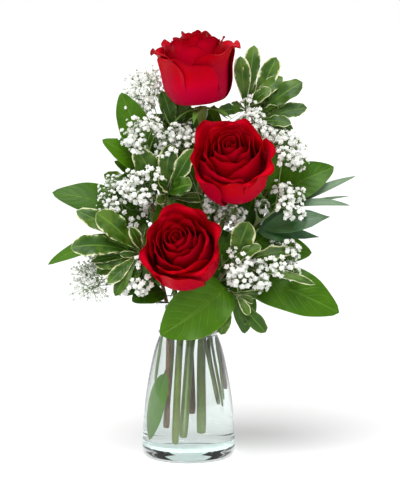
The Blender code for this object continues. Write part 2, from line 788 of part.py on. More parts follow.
def make_rose_stem(name, receptacle, axis, turn, foot, way, finish):
    """A green stem that swells into the hip, with five sepals turned down under the petals."""
    frame = axis.to_track_quat("Z", "Y").to_matrix().to_4x4()
    frame = Matrix.Translation(receptacle) @ frame @ Matrix.Rotation(math.radians(turn), 4, "Z")
    throat = receptacle - axis * HIP_HEIGHT
    sides = 10
    points = [foot, *way, throat - axis * 9 * MM, throat]
    rings = find_route(name, points, ROSE_STEM_RADIUS, sides, held=2, taper=0.9)
    if not rings:
        raise ValueError(f"{name} finds no clear route")
    hip = ((-0.72, 0.85), (-0.38, 1.0), (-0.06, 0.88))
    rings += [ring_at(receptacle + axis * HIP_HEIGHT * z, axis, HIP_RADIUS * r, sides) for z, r in hip]
    bm = bmesh.new()
    grow(bm, start_face(bm, rings[0]), rings[1:])
    close_start(bm)
    bmesh.ops.recalc_face_normals(bm, faces=bm.faces)
    bm.normal_update()
    standing.add(name, *walls_between(rings, receptacle))
    shoulder = receptacle - axis * HIP_HEIGHT * 0.22
    walls = [face for face in bm.faces if (face.calc_center_median() - shoulder).length < HIP_RADIUS * 1.15]
    walls = [face for face in walls if len(face.verts) == 4 and abs(face.normal.dot(axis)) < 0.75]
    for number in range(5):
        angle = math.tau * number / 5
        out = (frame.to_3x3() @ Vector((math.cos(angle), math.sin(angle), 0))).normalized()
        face = max((wall for wall in walls if wall.is_valid), key=lambda wall: wall.normal.dot(out))
        walls.remove(face)
        base = face.calc_center_median()
        droop = -0.35 - 0.25 * (number % 2)
        tip = base + (out * 0.85 + axis * droop).normalized() * SEPAL_LENGTH
        rows = blade_rows(base, tip, SEPAL_WIDTH, out * 0.3 + axis, 4 * MM, 0.3)
        grow(bm, face, rows, tip)
        standing.add(name, *walls_between(rows[1:], tip))
    return new_object(f"{name}_stem", bm, finish), frame


def make_rose(name, rose, finishes):
    receptacle, axis, turn, foot, way = rose
    axis = Vector(axis).normalized()
    stem, frame = make_rose_stem(name, receptacle, axis, turn, foot, way, finishes["stem"])
    head = bpy.data.objects.new(name, None)
    bpy.context.scene.collection.objects.link(head)
    head.matrix_world = frame
    pieces = [make_petal(name, number, finishes["petal"], head) for number in range(PETALS)]
    pieces.append(make_heart(name, finishes["petal"], head))
    for piece in pieces:
        standing.add_object(piece)
    return stem


# Salal: separate leathery leaves on woody stems


def make_salal_leaf(name, leaf, lines, finish):
    branch, height, tip, width, facing, arch = leaf
    radius = BRANCHES[branch][0]
    line = lines[branch]
    after = next(index for index, point in enumerate([*line[1:-1], UP], 1) if point.z >= height * MM)
    share = (height * MM - line[after - 1].z) / (line[after].z - line[after - 1].z)
    place = line[after - 1].lerp(line[after], min(share, 1.0))
    stem_way = (line[after] - line[after - 1]).normalized()
    blade_base = PETIOLE_ENDS.get(name)
    toward = (blade_base or tip) - place
    out = (toward - stem_way * toward.dot(stem_way)).normalized()
    start = place + out * (radius + 1.5 * GAP)
    first = start + out * 1.5 * MM
    base = blade_base or first
    tip, arch = find_blade(name, base, tip, width * MM, facing, arch * MM, OVATE)
    rows = blade_rows(base, tip, width * MM, facing, arch, OVATE)
    if blade_base:
        rows = [ring_at((first + base) / 2, toward.normalized(), PETIOLE_RADIUS, 4), *rows]
    bm = bmesh.new()
    grow(bm, start_face(bm, ring_at(start, out, PETIOLE_RADIUS, 4)), rows, tip)
    close_start(bm)
    obj = new_object(name, bm, finish)
    standing.add_object(obj)
    return obj


def grow_wet_leaf(bm, walls, branch):
    """A lower leaf that was left on its branch and hangs in the water."""
    height, tip, width, facing = WET_LEAF
    level = [wall for wall in walls if abs(wall.calc_center_median().z - height * MM) < 3 * MM]
    wall = max(level, key=lambda face: face.normal.dot((tip - face.calc_center_median()).normalized()))
    grow_leaf(bm, wall, branch, tip, width * MM, facing, 3 * MM, OVATE)


def fattened(obj):
    """A hidden copy, GAP larger all round, that makes room for the piece in the water."""
    copy = obj.copy()
    copy.data = obj.data.copy()
    copy.name = f"room_for_{obj.name}"
    bpy.context.scene.collection.objects.link(copy)
    bm = bmesh.new()
    bm.from_mesh(copy.data)
    top = WATER_LEVEL + 9 * MM
    bmesh.ops.bisect_plane(
        bm, geom=bm.verts[:] + bm.edges[:] + bm.faces[:], plane_co=(0, 0, top), plane_no=UP, clear_outer=True
    )
    bmesh.ops.holes_fill(bm, edges=[edge for edge in bm.edges if edge.is_boundary])
    bmesh.ops.recalc_face_normals(bm, faces=bm.faces)
    bm.normal_update()
    for vert in bm.verts:
        vert.co += vert.normal * 1.3 * GAP
    bm.to_mesh(copy.data)
    bm.free()
    copy.hide_render = True
    copy.display_type = "WIRE"
    return copy


def main():
    clear_scene()
    finishes = make_materials()
    vase = make_vase(finishes["glass"])
    standing.add_object(vase)
    wet = [make_rose(name, rose, finishes) for name, rose in ROSES.items()]
    lines = {}
    for name, (radius, foot, way, end) in BRANCHES.items():
        wet_heights = (WET_LEAF[0] * MM,) if name == "salal_stem_left" else ()
        bm, lines[name], _, walls = make_stem(name, foot, way, end, radius, wet_heights)
        if wet_heights:
            grow_wet_leaf(bm, walls, name)
        wet.append(new_object(name, bm, finishes["bark"]))
    for name, leaf in SALAL.items():
        make_salal_leaf(name, leaf, lines, finishes["salal"])
    for name, sprig in PITTOSPORUM.items():
        wet.append(make_sprig(name, sprig, SPRIG_RADIUS, finishes["pittosporum"], OBOVATE))
    for name, sprig in RUSCUS.items():
        wet.append(make_sprig(name, sprig, SPRIG_RADIUS * 0.8, finishes[name.split("_")[0]], LANCE))
    for name, plant in BABYS_BREATH.items():
        wet.append(make_babys_breath(name, plant, finishes["babys_breath"]))
    make_water(finishes["water"], [fattened(piece) for piece in wet])


main()
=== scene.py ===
"""Finishes a packed bouquet of roses, greens and baby's breath in a glass vase: petals, leaves, florets and glass.

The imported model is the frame. Stems, leaves, rose heads, sprays, glass and water are read from its nodes. Only the
tips of the inner leaves and the middles of the small extra sprays are chosen places, listed below.
"""

import json
import math
import random
from collections import namedtuple

import bmesh
import bpy
import numpy as np
from bpy.props import FloatProperty, FloatVectorProperty, IntProperty, PointerProperty
from mathutils import Color, Matrix, Vector
from mathutils.bvhtree import BVHTree

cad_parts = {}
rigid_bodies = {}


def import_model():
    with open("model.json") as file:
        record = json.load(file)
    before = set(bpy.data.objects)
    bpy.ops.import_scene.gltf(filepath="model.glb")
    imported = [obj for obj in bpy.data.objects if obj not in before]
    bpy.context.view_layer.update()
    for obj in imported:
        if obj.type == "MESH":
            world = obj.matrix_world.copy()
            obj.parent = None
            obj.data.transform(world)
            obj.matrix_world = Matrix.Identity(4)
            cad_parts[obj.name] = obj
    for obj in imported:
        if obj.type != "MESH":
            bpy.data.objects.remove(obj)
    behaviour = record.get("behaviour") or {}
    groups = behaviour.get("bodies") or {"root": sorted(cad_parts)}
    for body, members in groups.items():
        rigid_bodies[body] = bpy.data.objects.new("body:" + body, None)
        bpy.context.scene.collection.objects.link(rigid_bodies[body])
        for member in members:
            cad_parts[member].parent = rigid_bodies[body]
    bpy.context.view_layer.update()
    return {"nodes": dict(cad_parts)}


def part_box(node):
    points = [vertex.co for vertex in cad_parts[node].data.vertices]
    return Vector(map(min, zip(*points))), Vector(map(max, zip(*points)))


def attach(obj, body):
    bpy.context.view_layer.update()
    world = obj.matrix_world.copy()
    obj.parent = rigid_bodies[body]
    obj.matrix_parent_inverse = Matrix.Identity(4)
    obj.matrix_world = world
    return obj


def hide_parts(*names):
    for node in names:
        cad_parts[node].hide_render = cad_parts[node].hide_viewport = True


bl_info = {
    "name": "Rose Bouquet Finisher",
    "version": (1, 0, 0),
    "blender": (4, 5, 0),
    "location": "3D View > Sidebar > Bouquet",
    "description": "Makes the petals, leaves, florets, glass and water of a packed rose bouquet",
    "category": "Object",
}

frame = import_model()
NODES = frame["nodes"]
MM = 0.001
ROSES = ("rose_top", "rose_middle", "rose_low")

# How the frame's nodes are built: rings of four points in a leaf and in a flower, and a rose heart's sides
LEAF_ROWS = 6
FLOWER_ROWS = 4
HEART_SIDES = 16

# The slots of a leaf piece's materials after the upper side: the underside, and the stalk with its midrib
UNDERSIDE, STALK = 1, 2
# Where along a blade its ways across and up are taken to turn it by
BLADE_MIDDLE = 0.4
# The angles that a leaf is tipped by, in turn, to clear the petals and the glass
TIPS = (0.0, 0.07, -0.07, 0.14, -0.14, 0.21, -0.21, 0.3, -0.3)
# How much broader a blade with a stalk of its own stands than its solid
STALKED_WIDER = 1.2

# How much of a rose's own room counts as its bloom, for leaves and for florets
LEAF_MARGIN = 1.1
FLORET_MARGIN = 1.08
# How far a stem stands proud of its solid before it is smoothed, because smoothing draws it in
STEM_SWELL = 0.25 * MM

# Points along a petal's curve
PETAL_STEPS = 30
SMOOTH_ANGLE = math.radians(48)
GOLDEN_ANGLE = math.radians(137.508)
# How far the water laps into the glass, so that no air stands between them
WATER_LAP = 0.12 * MM

# Sprays beyond these, at the bouquet's left and top, are airy ones
AIRY_LEFT = -75 * MM
AIRY_TOP = 352 * MM
# How many florets a spray has, how far they stand apart and how large they are, as shares of the settings
AIRY = (3.2, 1.6, 0.6)
CLOSE = (1.8, 1.15, 1.0)
# The turn from one floret of a spray to the next, near the golden angle, and the sizes that are drawn from
FLORET_TURN = 2.39996
FLORET_SIZES = (0.5, 0.75, 0.85, 0.95, 1.0, 1.05, 1.1)
# How near a petal or leaf a floret's middle may stand, in its own radii
FLORET_ROOM = 1.05
# Radii of the threads that carry a spray and a floret
SPRAY_THREAD = (0.4 * MM, 0.3 * MM, 0.22 * MM)
FLORET_THREAD = (0.16 * MM, 0.14 * MM, 0.2 * MM)

FLOOR_SIZE = 300
# How far the floor lies under the vase, so that the two faces don't meet
FLOOR_DROP = 0.2 * MM
KEY_PLACE = (-0.25, -0.75, 1.5)
CAMERA_AIM = Vector((0.0115, 0, 0.209))
CAMERA_LENS = 144
CAMERA_SENSOR = 36


# Sizes and colours


def length(name, description, default, low=0.0, high=0.2):
    return FloatProperty(
        name=name, description=description, default=default, min=low, max=high, subtype="DISTANCE", unit="LENGTH"
    )


def share(name, description, default, low=0.0, high=1.0):
    return FloatProperty(name=name, description=description, default=default, min=low, max=high, subtype="FACTOR")


def colour(name, description, default):
    return FloatVectorProperty(
        name=name, description=description, default=default, size=3, min=0, max=1, subtype="COLOR"
    )


class BouquetRoseSettings(bpy.types.PropertyGroup):
    inner_petals: IntProperty(
        name="Inner petals", description="Petals furled inside the guard petals", default=18, min=8, max=40
    )
    petal_wall: length("Petal wall", "Thickness of a petal", 0.45 * MM)
    lip: length("Rolled lip", "Radius of the rolled lip of an outer petal", 3.4 * MM)
    scarlet: colour("Scarlet", "Upper side of the petals", (0.70, 0.0, 0.005))
    # Deep red carries the painted shade towards the petals' claws, and is also the colour of their veins, darker
    # patches and darker petals
    deep_red_and_shade: colour("Deep red", "Petals in the folds and towards the claw", (0.36, 0.0, 0.002))
    crimson: colour("Crimson", "Back of the petals", (0.42, 0.0, 0.030))
    rim: colour("Rim", "Thin dark line on the petal's rim", (0.26, 0.0, 0.003))


class BouquetGreenSettings(bpy.types.PropertyGroup):
    leaf_wall: length("Leaf wall", "Thickness of a leaf", 0.4 * MM)
    salal_light: colour("Salal light", "Lighter green of the salal leaves", (0.052, 0.152, 0.0))
    salal_dark: colour("Salal dark", "Darker green of the salal leaves", (0.018, 0.072, 0.0))
    salal_under: colour("Salal underside", "Pale underside of the salal leaves", (0.13, 0.23, 0.02))
    vein: colour("Vein", "Midrib and side veins", (0.15, 0.30, 0.03))
    pittosporum_light: colour("Pittosporum light", "Grey-green of the pittosporum leaves", (0.080, 0.165, 0.012))
    pittosporum_dark: colour("Pittosporum dark", "Middle green of the pittosporum leaves", (0.024, 0.078, 0.002))
    cream: colour("Cream margin", "Pale margin of the pittosporum leaves", (0.60, 0.63, 0.36))
    ruscus: colour("Ruscus", "Dark green of the ruscus leaves", (0.014, 0.075, 0.012))
    willow: colour("Narrow blades", "Grey-green of the narrow blades", (0.12, 0.21, 0.11))
    rose_stem: colour("Rose stem", "Green of the rose stems and sepals", (0.135, 0.185, 0.016))
    bark: colour("Bark", "Brown of the woody stems", (0.11, 0.045, 0.014))


class BouquetBabyBreathSettings(bpy.types.PropertyGroup):
    florets: IntProperty(name="Florets", description="Florets on each sprig of a head", default=10, min=1, max=14)
    floret: length("Floret", "Radius of a floret", 2.8 * MM)
    spread: length("Spread", "How far the florets of a sprig stand apart", 10.0 * MM)
    white: colour("White", "Petals of the florets", (0.84, 0.86, 0.81))
    calyx: colour("Calyx", "Green of the calyx and the threads", (0.20, 0.30, 0.10))


class BouquetVaseSettings(bpy.types.PropertyGroup):
    sides: IntProperty(name="Sides", description="Sides of the turned glass", default=96, min=24, max=160)
    glass: colour("Glass", "Tint of the glass", (0.95, 0.985, 0.978))
    water: colour("Water", "Tint of the water", (0.97, 0.995, 0.985))
    meniscus: length("Meniscus", "How far the water climbs the glass", 1.0 * MM)


class BouquetStageSettings(bpy.types.PropertyGroup):
    floor: colour("Floor", "Colour of the floor", (0.90, 0.90, 0.90))
    sun: FloatProperty(name="Key light", description="Strength of the broad key light", default=2.5, min=0)
    spread: FloatProperty(
        name="Key spread", description="How broad the key light is", default=math.radians(45), subtype="ANGLE"
    )
    air: share("Air light", "Strength of the light from all round", 0.68, 0, 3)
    distance: length("Camera distance", "From the camera to the bouquet's middle", 2.0, 0.5, 5)
    elevation: FloatProperty(
        name="Camera height", description="Angle of the camera above the horizon", default=math.radians(6.6),
        subtype="ANGLE",
    )


# Reading the frame


def joined_copy(node):
    """A CAD node's loose triangles as one joined mesh, in a bmesh of its own."""
    bm = bmesh.new()
    bm.from_mesh(NODES[node].data)
    bmesh.ops.remove_doubles(bm, verts=bm.verts, dist=1e-5)
    bm.verts.index_update()
    return bm


def beyond(ring, seen):
    """The points next to a ring that were not seen yet, in the order of the mesh."""
    found = {edge.other_vert(vert) for vert in ring for edge in vert.link_edges} - seen
    return sorted(found, key=lambda vert: vert.index)


def growths(bm, rows):
    """Leaves or flowers that end in a point, as the rings of four points from the point back to the stem."""
    found = []
    for vert in bm.verts:
        if len(vert.link_edges) != 4:
            continue
        rings, seen = [[vert]], {vert}
        while len(rings) <= rows:
            ring = beyond(rings[-1], seen)
            if len(ring) != 4:
                break
            rings.append(ring)
            seen.update(ring)
        if len(rings) == rows + 1:
            found.append((rings, beyond(rings[-1], seen)))
    return sorted(found, key=lambda growth: tuple(growth[0][0][0].co))


def middle_of(verts):
    return sum((vert.co for vert in verts), Vector()) / len(verts)


def widest_pair(ring):
    """The two points of a ring of four that stand furthest apart, and the other two."""
    pairs = [(ring[a], ring[b]) for a in range(4) for b in range(a)]
    left, right = max(pairs, key=lambda pair: (pair[0].co - pair[1].co).length)
    return left, right, [vert for vert in ring if vert is not left and vert is not right]


def fitted(shares, points, order):
    """Smooth curves through points at their shares of a line, kept close to the two ends."""
    weights = np.ones(len(shares))
    weights[0] = weights[-1] = 6.0 if order > 2 else 1.0
    return [np.polynomial.Polynomial.fit(shares, column, order, w=weights) for column in np.array(points).T]


class Blade:
    """A leaf's smooth midrib, the ways across it and up from it along its length, and its full width."""

    @classmethod
    def between(cls, base, tip, width, facing, arch):
        """A leaf made from its two ends, the way its upper side looks and the arch of its midrib."""
        made = cls.__new__(cls)
        base, tip, facing = (np.array(point, float) for point in (base, tip, facing))
        along = tip - base
        made.length = np.linalg.norm(along)
        across = np.cross(along, facing)
        across /= np.linalg.norm(across)
        upper = np.cross(across, along / made.length)
        shares = np.linspace(0, 1, 7)
        middles = [base + along * share + upper * arch * math.sin(math.pi * share) for share in shares]
        made.midrib = fitted(shares, middles, 4)
        made.across = fitted(shares, [across] * 7, 2)
        made.width, made.stalk = width, None
        return made

    def __init__(self, rings, root):
        middles = [np.array(middle_of(ring)) for ring in reversed(rings)]
        self.stalk = np.array(middle_of(root)) if len(root) == 4 else None
        steps = [np.linalg.norm(after - before) for before, after in zip(middles, middles[1:])]
        shares = np.concatenate([[0], np.cumsum(steps)]) / sum(steps)
        self.length = sum(steps)
        self.midrib = fitted(shares, middles, 4)
        across, upper, widths = [], [], []
        for index in range(len(rings) - 2, 0, -1):
            left, right, keel = widest_pair(rings[index])
            way = np.array(right.co - left.co)
            widths.append(np.linalg.norm(way))
            along = self.way(shares[len(rings) - 1 - index])
            way = way - along * way.dot(along)
            way /= np.linalg.norm(way)
            lift = np.cross(way, along)
            rise = np.array((left.co + right.co) / 2 - middle_of(keel))
            if rise.dot(lift) < 0:
                way, lift = -way, -lift
            across.append(way)
            upper.append(lift)
        best = upper[int(np.argmax(widths))]
        for index, lift in enumerate(upper):
            if lift.dot(best) < 0:
                across[index], upper[index] = -across[index], -lift
        self.width = max(widths)
        self.across = fitted(shares[1:-1], across, 2)

    def way(self, share):
        ahead, behind = self.at(min(share + 0.02, 1.0)), self.at(max(share - 0.02, 0.0))
        return (ahead - behind) / np.linalg.norm(ahead - behind)

    def at(self, share):
        return np.array([curve(share) for curve in self.midrib]).T

    def frames(self, shares):
        """Places on the midrib with the ways along, across and up there."""
        places = self.at(shares)
        along = self.at(np.minimum(shares + 0.02, 1.0)) - self.at(np.maximum(shares - 0.02, 0.0))
        along /= np.linalg.norm(along, axis=-1, keepdims=True)
        across = np.array([curve(np.clip(shares, 0.1, 0.9)) for curve in self.across]).T
        across = across - along * (across * along).sum(-1, keepdims=True)
        across /= np.linalg.norm(across, axis=-1, keepdims=True)
        return places, across, np.cross(across, along)

    def middle_ways(self):
        """The ways across and up where the blade is turned by."""
        _, across, upper = (way[0] for way in self.frames(np.array([BLADE_MIDDLE])))
        return across, upper


def read_blades(node):
    bm = joined_copy(node)
    blades = [Blade(rings, root) for rings, root in growths(bm, LEAF_ROWS)]
    bm.free()
    return blades


def turned_outline(node):
    """A turned node's outline as (radius, height), from its bottom pole up the outside and down the inside."""
    bm = joined_copy(node)
    flat = [vert for vert in bm.verts if abs(vert.co.y) < 1e-5 and vert.co.x > -1e-5]
    here = min(flat, key=lambda vert: (vert.co.z, vert.co.x))
    outline, seen = [], set()
    while here:
        seen.add(here)
        outline.append((here.co.x, here.co.z))
        linked = {edge.other_vert(here) for edge in here.link_edges} & set(flat) - seen
        here = min(linked, key=lambda vert: (vert.co - here.co).length) if linked else None
    bm.free()
    return outline


class Head:
    """A rose head's place: receptacle, axes, height and radius, read from its heart and its first petal."""

    def __init__(self, rose):
        bm = joined_copy(f"{rose}_heart")
        top = next(vert.co.copy() for vert in bm.verts if len(vert.link_edges) == HEART_SIDES)
        middle = middle_of(bm.verts)
        self.axis = (top - middle).normalized()
        self.height = max((top - vert.co).dot(self.axis) for vert in bm.verts)
        base = top - self.axis * self.height
        self.foot = base - self.axis * 0.03 * self.height
        reach = max((vert.co - base - self.axis * (vert.co - base).dot(self.axis)).length for vert in bm.verts)
        self.radius = reach / 0.8
        bm.free()
        toward = node_middle(f"{rose}_petal_1") - self.foot
        self.x = (toward - self.axis * toward.dot(self.axis)).normalized()
        self.y = self.axis.cross(self.x)

    def place(self, radius, angle, height):
        """Points in the world for arrays of radius, angle and height."""
        x, y, z, foot = (np.array(way) for way in (self.x, self.y, self.axis, self.foot))
        flat = (radius * np.cos(angle))[..., None] * x + (radius * np.sin(angle))[..., None] * y
        return foot + flat + height[..., None] * z


def in_bloom(heads, points, margin):
    """Whether any of the points lies among the petals of a rose."""
    for head in heads:
        away = np.atleast_2d(points) - np.array(head.foot)
        up = away @ np.array(head.axis)
        out = np.linalg.norm(away - up[:, None] * np.array(head.axis), axis=1)
        if ((out < head.radius * margin) & (up > -0.02 * head.height) & (up < 1.12 * head.height)).any():
            return True
    return False


def in_vase(points):
    """Whether any of the points lies in or against the vase."""
    points = np.atleast_2d(points)
    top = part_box("vase")[1]
    return ((np.hypot(points[:, 0], points[:, 1]) < top.x * 1.1) & (points[:, 2] < top.z + 4 * MM)).any()


def node_middle(node):
    """The middle of a node's box."""
    points = np.array([vert.co for vert in NODES[node].data.vertices])
    return Vector((points.min(0) + points.max(0)) / 2)


def nodes_named(*starts):
    return sorted(name for name in NODES if name.startswith(starts))


def pieces_named(*ends):
    """The new pieces whose names end so."""
    return [obj for obj in bpy.data.objects if obj.name.endswith(ends)]


# Working as by hand


def deselect_all():
    bpy.ops.object.select_all(action="DESELECT")


def make_active(obj):
    deselect_all()
    obj.select_set(True)
    bpy.context.view_layer.objects.active = obj


def apply_modifier(obj, kind, **settings):
    make_active(obj)
    bpy.ops.object.modifier_add(type=kind)
    modifier = obj.modifiers[-1]
    for name, value in settings.items():
        setattr(modifier, name, value)
    bpy.ops.object.modifier_apply(modifier=modifier.name)


def finish_piece(obj, replaced=(), materials=(), smooth=True):
    """Shades a piece, gives it its materials and hangs it on the bouquet's body."""
    if materials:
        obj.data.materials.clear()
    for made in materials:
        obj.data.materials.append(made)
    make_active(obj)
    if smooth:
        bpy.ops.object.shade_smooth_by_angle(angle=SMOOTH_ANGLE)
    else:
        bpy.ops.object.shade_flat()
    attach(obj, "root")
    if replaced:
        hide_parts(*replaced)
    deselect_all()
    return obj


def grid_template(columns, rows):
    """A grid primitive's points as u and v from -1 to 1, and its faces, for a sheet to be shaped from."""
    deselect_all()
    bpy.ops.mesh.primitive_grid_add(x_subdivisions=columns, y_subdivisions=rows, size=2)
    grid = bpy.context.object
    points = np.array([vert.co[:2] for vert in grid.data.vertices])
    faces = np.array([tuple(face.vertices) for face in grid.data.polygons])
    bpy.data.objects.remove(grid)
    return points[:, 0], points[:, 1], faces


class Sheets:
    """Shaped sheets gathered into one mesh, each point with its place on its sheet and its sheet's tone."""

    def __init__(self):
        self.points, self.faces, self.spots, self.tones, self.slots = [], [], [], [], []
        self.count = 0

    def add(self, points, faces, spots, tone=0.5, slot=0):
        points = np.asarray(points)
        tone = np.broadcast_to(tone, len(points))
        self.points.append(points)
        self.faces += [tuple(int(corner) + self.count for corner in face) for face in faces]
        self.spots.append(spots)
        self.tones.append(tone)
        self.slots += [slot] * len(faces)
        self.count += len(points)

    def to_object(self, name):
        mesh = bpy.data.meshes.new(name)
        mesh.from_pydata(np.concatenate(self.points).tolist(), [], self.faces)
        corners = np.zeros(len(mesh.loops), np.int32)
        mesh.loops.foreach_get("vertex_index", corners)
        layer = mesh.uv_layers.new(name="sheet")
        layer.data.foreach_set("uv", np.concatenate(self.spots)[corners].astype(np.float32).ravel())
        tone = mesh.attributes.new("tone", "FLOAT", "POINT")
        tone.data.foreach_set("value", np.concatenate(self.tones).astype(np.float32))
        mesh.polygons.foreach_set("material_index", np.array(self.slots, np.int32))
        obj = bpy.data.objects.new(name, mesh)
        bpy.context.scene.collection.objects.link(obj)
        return obj


def add_tube(sheets, line, radii, sides=6, tone=0.5, slot=0):
    """A closed tube along a line of points, ending in points at both ends."""
    line = [np.array(point, float) for point in line]
    points, faces, spots = [line[0]], [], [(0.5, 0.0)]
    side = None
    for index, (point, radius) in enumerate(zip(line, radii)):
        way = line[min(index + 1, len(line) - 1)] - line[max(index - 1, 0)]
        way = way / max(np.linalg.norm(way), 1e-9)
        if side is None:
            side = np.cross(way, (0.3, 0.2, 0.9) if abs(way[2]) < 0.9 else (1.0, 0.1, 0.0))
        side = side - way * side.dot(way)
        side = side / max(np.linalg.norm(side), 1e-9)
        other = np.cross(way, side)
        for step in range(sides):
            angle = math.tau * step / sides
            points.append(point + radius * (math.cos(angle) * side + math.sin(angle) * other))
            spots.append((step / sides, index / (len(line) - 1)))
    points.append(line[-1])
    spots.append((0.5, 1.0))
    for index in range(len(line) - 1):
        low = 1 + index * sides
        for step in range(sides):
            after = (step + 1) % sides
            faces.append((low + step, low + after, low + sides + after, low + sides + step))
    last = 1 + (len(line) - 1) * sides
    for step in range(sides):
        after = (step + 1) % sides
        faces.append((0, 1 + after, 1 + step))
        faces.append((last + step, last + after, len(points) - 1))
    sheets.add(points, faces, np.array(spots), tone, slot)


# Materials


class Paint:
    """A material's node tree with short ways to add nodes."""

    def __init__(self, name, base, **sockets):
        self.material = bpy.data.materials.new(name)
        self.material.use_nodes = True
        self.tree = self.material.node_tree
        self.shader = self.tree.nodes["Principled BSDF"]
        self.material.diffuse_color = (*base, 1)
        self.set("Base Color", (*base, 1))
        for socket, value in sockets.items():
            self.set(socket.replace("_", " "), value)

    def set(self, socket, value):
        self.feed(self.shader, {socket: value})

    def feed(self, node, values):
        for key, value in values.items():
            if isinstance(value, bpy.types.NodeSocket):
                self.tree.links.new(value, node.inputs[key])
            elif value is not None:
                node.inputs[key].default_value = value

    def add(self, kind, values, output=0, **settings):
        """A new node's output, with what feeds the node and its settings."""
        node = self.tree.nodes.new(f"ShaderNode{kind}")
        for setting, value in settings.items():
            setattr(node, setting, value)
        self.feed(node, values)
        return node.outputs[output]

    def math(self, operation, *values, clamp=False):
        return self.add("Math", dict(enumerate(values)), operation=operation, use_clamp=clamp)

    def times(self, first, second, added=None):
        """One value times another, with a third added to it where there is one."""
        return self.math("MULTIPLY" if added is None else "MULTIPLY_ADD", first, second, added)

    def plus(self, first, second, clamp=False):
        return self.math("ADD", first, second, clamp=clamp)

    def step(self, value, low, high):
        """0 below low, 1 above high, smooth between."""
        ends = {"Value": value, "From Min": low, "From Max": high}
        return self.add("MapRange", ends, interpolation_type="SMOOTHSTEP")

    def mix(self, share_of_second, first, second):
        pair = (given if isinstance(given, bpy.types.NodeSocket) else (*given, 1) for given in (first, second))
        return self.add("Mix", {0: share_of_second, **dict(zip((6, 7), pair))}, 2, data_type="RGBA")

    def lay(self, under, over, value, low, high, strength=None):
        """One colour laid over another as a value goes from low to high, by no more than a strength."""
        amount = self.step(value, low, high)
        return self.mix(amount if strength is None else self.times(amount, strength), under, over)

    def here(self, scale=(1, 1, 1)):
        """Object coordinates, stretched."""
        return self.add("Mapping", {"Vector": self.add("TexCoord", {}, "Object"), "Scale": scale})

    def spot(self, scale=(1, 1, 1)):
        """The place on the sheet, stretched."""
        return self.add("Mapping", {"Vector": self.add("UVMap", {}, uv_map="sheet"), "Scale": scale})

    def across_and_along(self):
        """The place across the sheet and along it, each from 0 to 1."""
        node = self.tree.nodes.new("ShaderNodeSeparateXYZ")
        self.feed(node, {0: self.spot()})
        return node.outputs[0], node.outputs[1]

    def out_from(self, across):
        """How far out from the midrib a place across a leaf is: 0 on it, 1 at the margin."""
        return self.math("ABSOLUTE", self.times(across, 2.0, -1.0))

    def tone(self):
        return self.add("Attribute", {}, "Fac", attribute_name="tone")

    def noise(self, vector, scale, detail=3.0, roughness=0.55):
        return self.add("TexNoise", {"Vector": vector, "Scale": scale, "Detail": detail, "Roughness": roughness})

    def bump(self, height, strength, distance):
        self.set("Normal", self.add("Bump", {"Height": height, "Strength": strength, "Distance": distance}))


def petal_paint(name, body, deep_red_and_shade, rim):
    """Velvet: painted shade towards the claw, darker random patches, fine lengthwise veins and a thin dark rim."""
    paint = Paint(name, body, Roughness=0.5, Specular_IOR_Level=0.12)
    paint.set("Specular Tint", (1.0, 0.12, 0.08, 1))
    _, along = paint.across_and_along()
    cloud = paint.noise(paint.here(), 55.0, 4.0)
    veins = paint.noise(paint.spot((46, 2.2, 1)), 1.0, 2.0)
    # Painted shade: the petal darkens towards its claw, deep in the bloom where shade falls, and also in random
    # patches of the cloud
    claw = paint.times(paint.step(along, 0.92, 0.3), 0.9)
    dark = paint.plus(claw, paint.times(paint.step(cloud, 0.35, 0.75), 0.35), clamp=True)
    red = paint.mix(dark, body, deep_red_and_shade)
    red = paint.lay(red, deep_red_and_shade, veins, 0.45, 0.8, 0.22)
    red = paint.mix(paint.times(paint.tone(), 0.38), red, deep_red_and_shade)
    edge = paint.plus(along, paint.times(cloud, 0.012))
    paint.set("Base Color", paint.lay(red, rim, edge, 0.965, 1.0, 0.75))
    paint.set("Roughness", paint.plus(paint.times(cloud, 0.2), 0.42))
    fine = paint.noise(paint.here(), 900.0, 2.0)
    paint.bump(paint.plus(veins, paint.times(fine, 0.35)), 0.35, 0.0004)
    return paint.material


def leaf_paint(name, light, dark, vein, side_veins=9.0, gloss=0.36, vein_strength=0.4, under=False):
    """A leathery leaf with a midrib, slanting side veins and mottled greens."""
    paint = Paint(name, light, Roughness=gloss, Specular_IOR_Level=0.3)
    paint.set("Specular Tint", (0.8, 1.0, 0.6, 1))
    across, along = paint.across_and_along()
    out = paint.out_from(across)
    midrib = paint.step(out, 0.075, 0.02)
    ripple = paint.math("PINGPONG", paint.times(along, side_veins, paint.times(out, -2.4)), 0.5)
    slant = paint.times(paint.step(ripple, 0.075, 0.01), paint.step(out, 1.0, 0.55))
    lines = paint.math("MAXIMUM", midrib, paint.times(slant, 0.6))
    cloud = paint.noise(paint.here(), 60.0, 5.0)
    net = paint.noise(paint.here(), 420.0, 3.0)
    blend = paint.plus(paint.times(cloud, 0.8), paint.times(paint.tone(), 0.5), clamp=True)
    green = paint.lay(dark, light, blend, 0.35, 0.95)
    green = paint.lay(green, light, ripple, 0.3, 0.5, 0.25)
    green = paint.mix(paint.times(lines, vein_strength), green, vein)
    paint.set("Base Color", paint.lay(green, vein, out, 0.95, 1.0, 0.45))
    paint.set("Roughness", paint.plus(paint.times(net, 0.16), gloss - 0.06))
    quilt = paint.plus(paint.times(ripple, 1.2), paint.times(net, 0.22))
    paint.bump(paint.times(lines, 0.9 if under else -0.9, quilt), 0.32, 0.0006)
    return paint.material


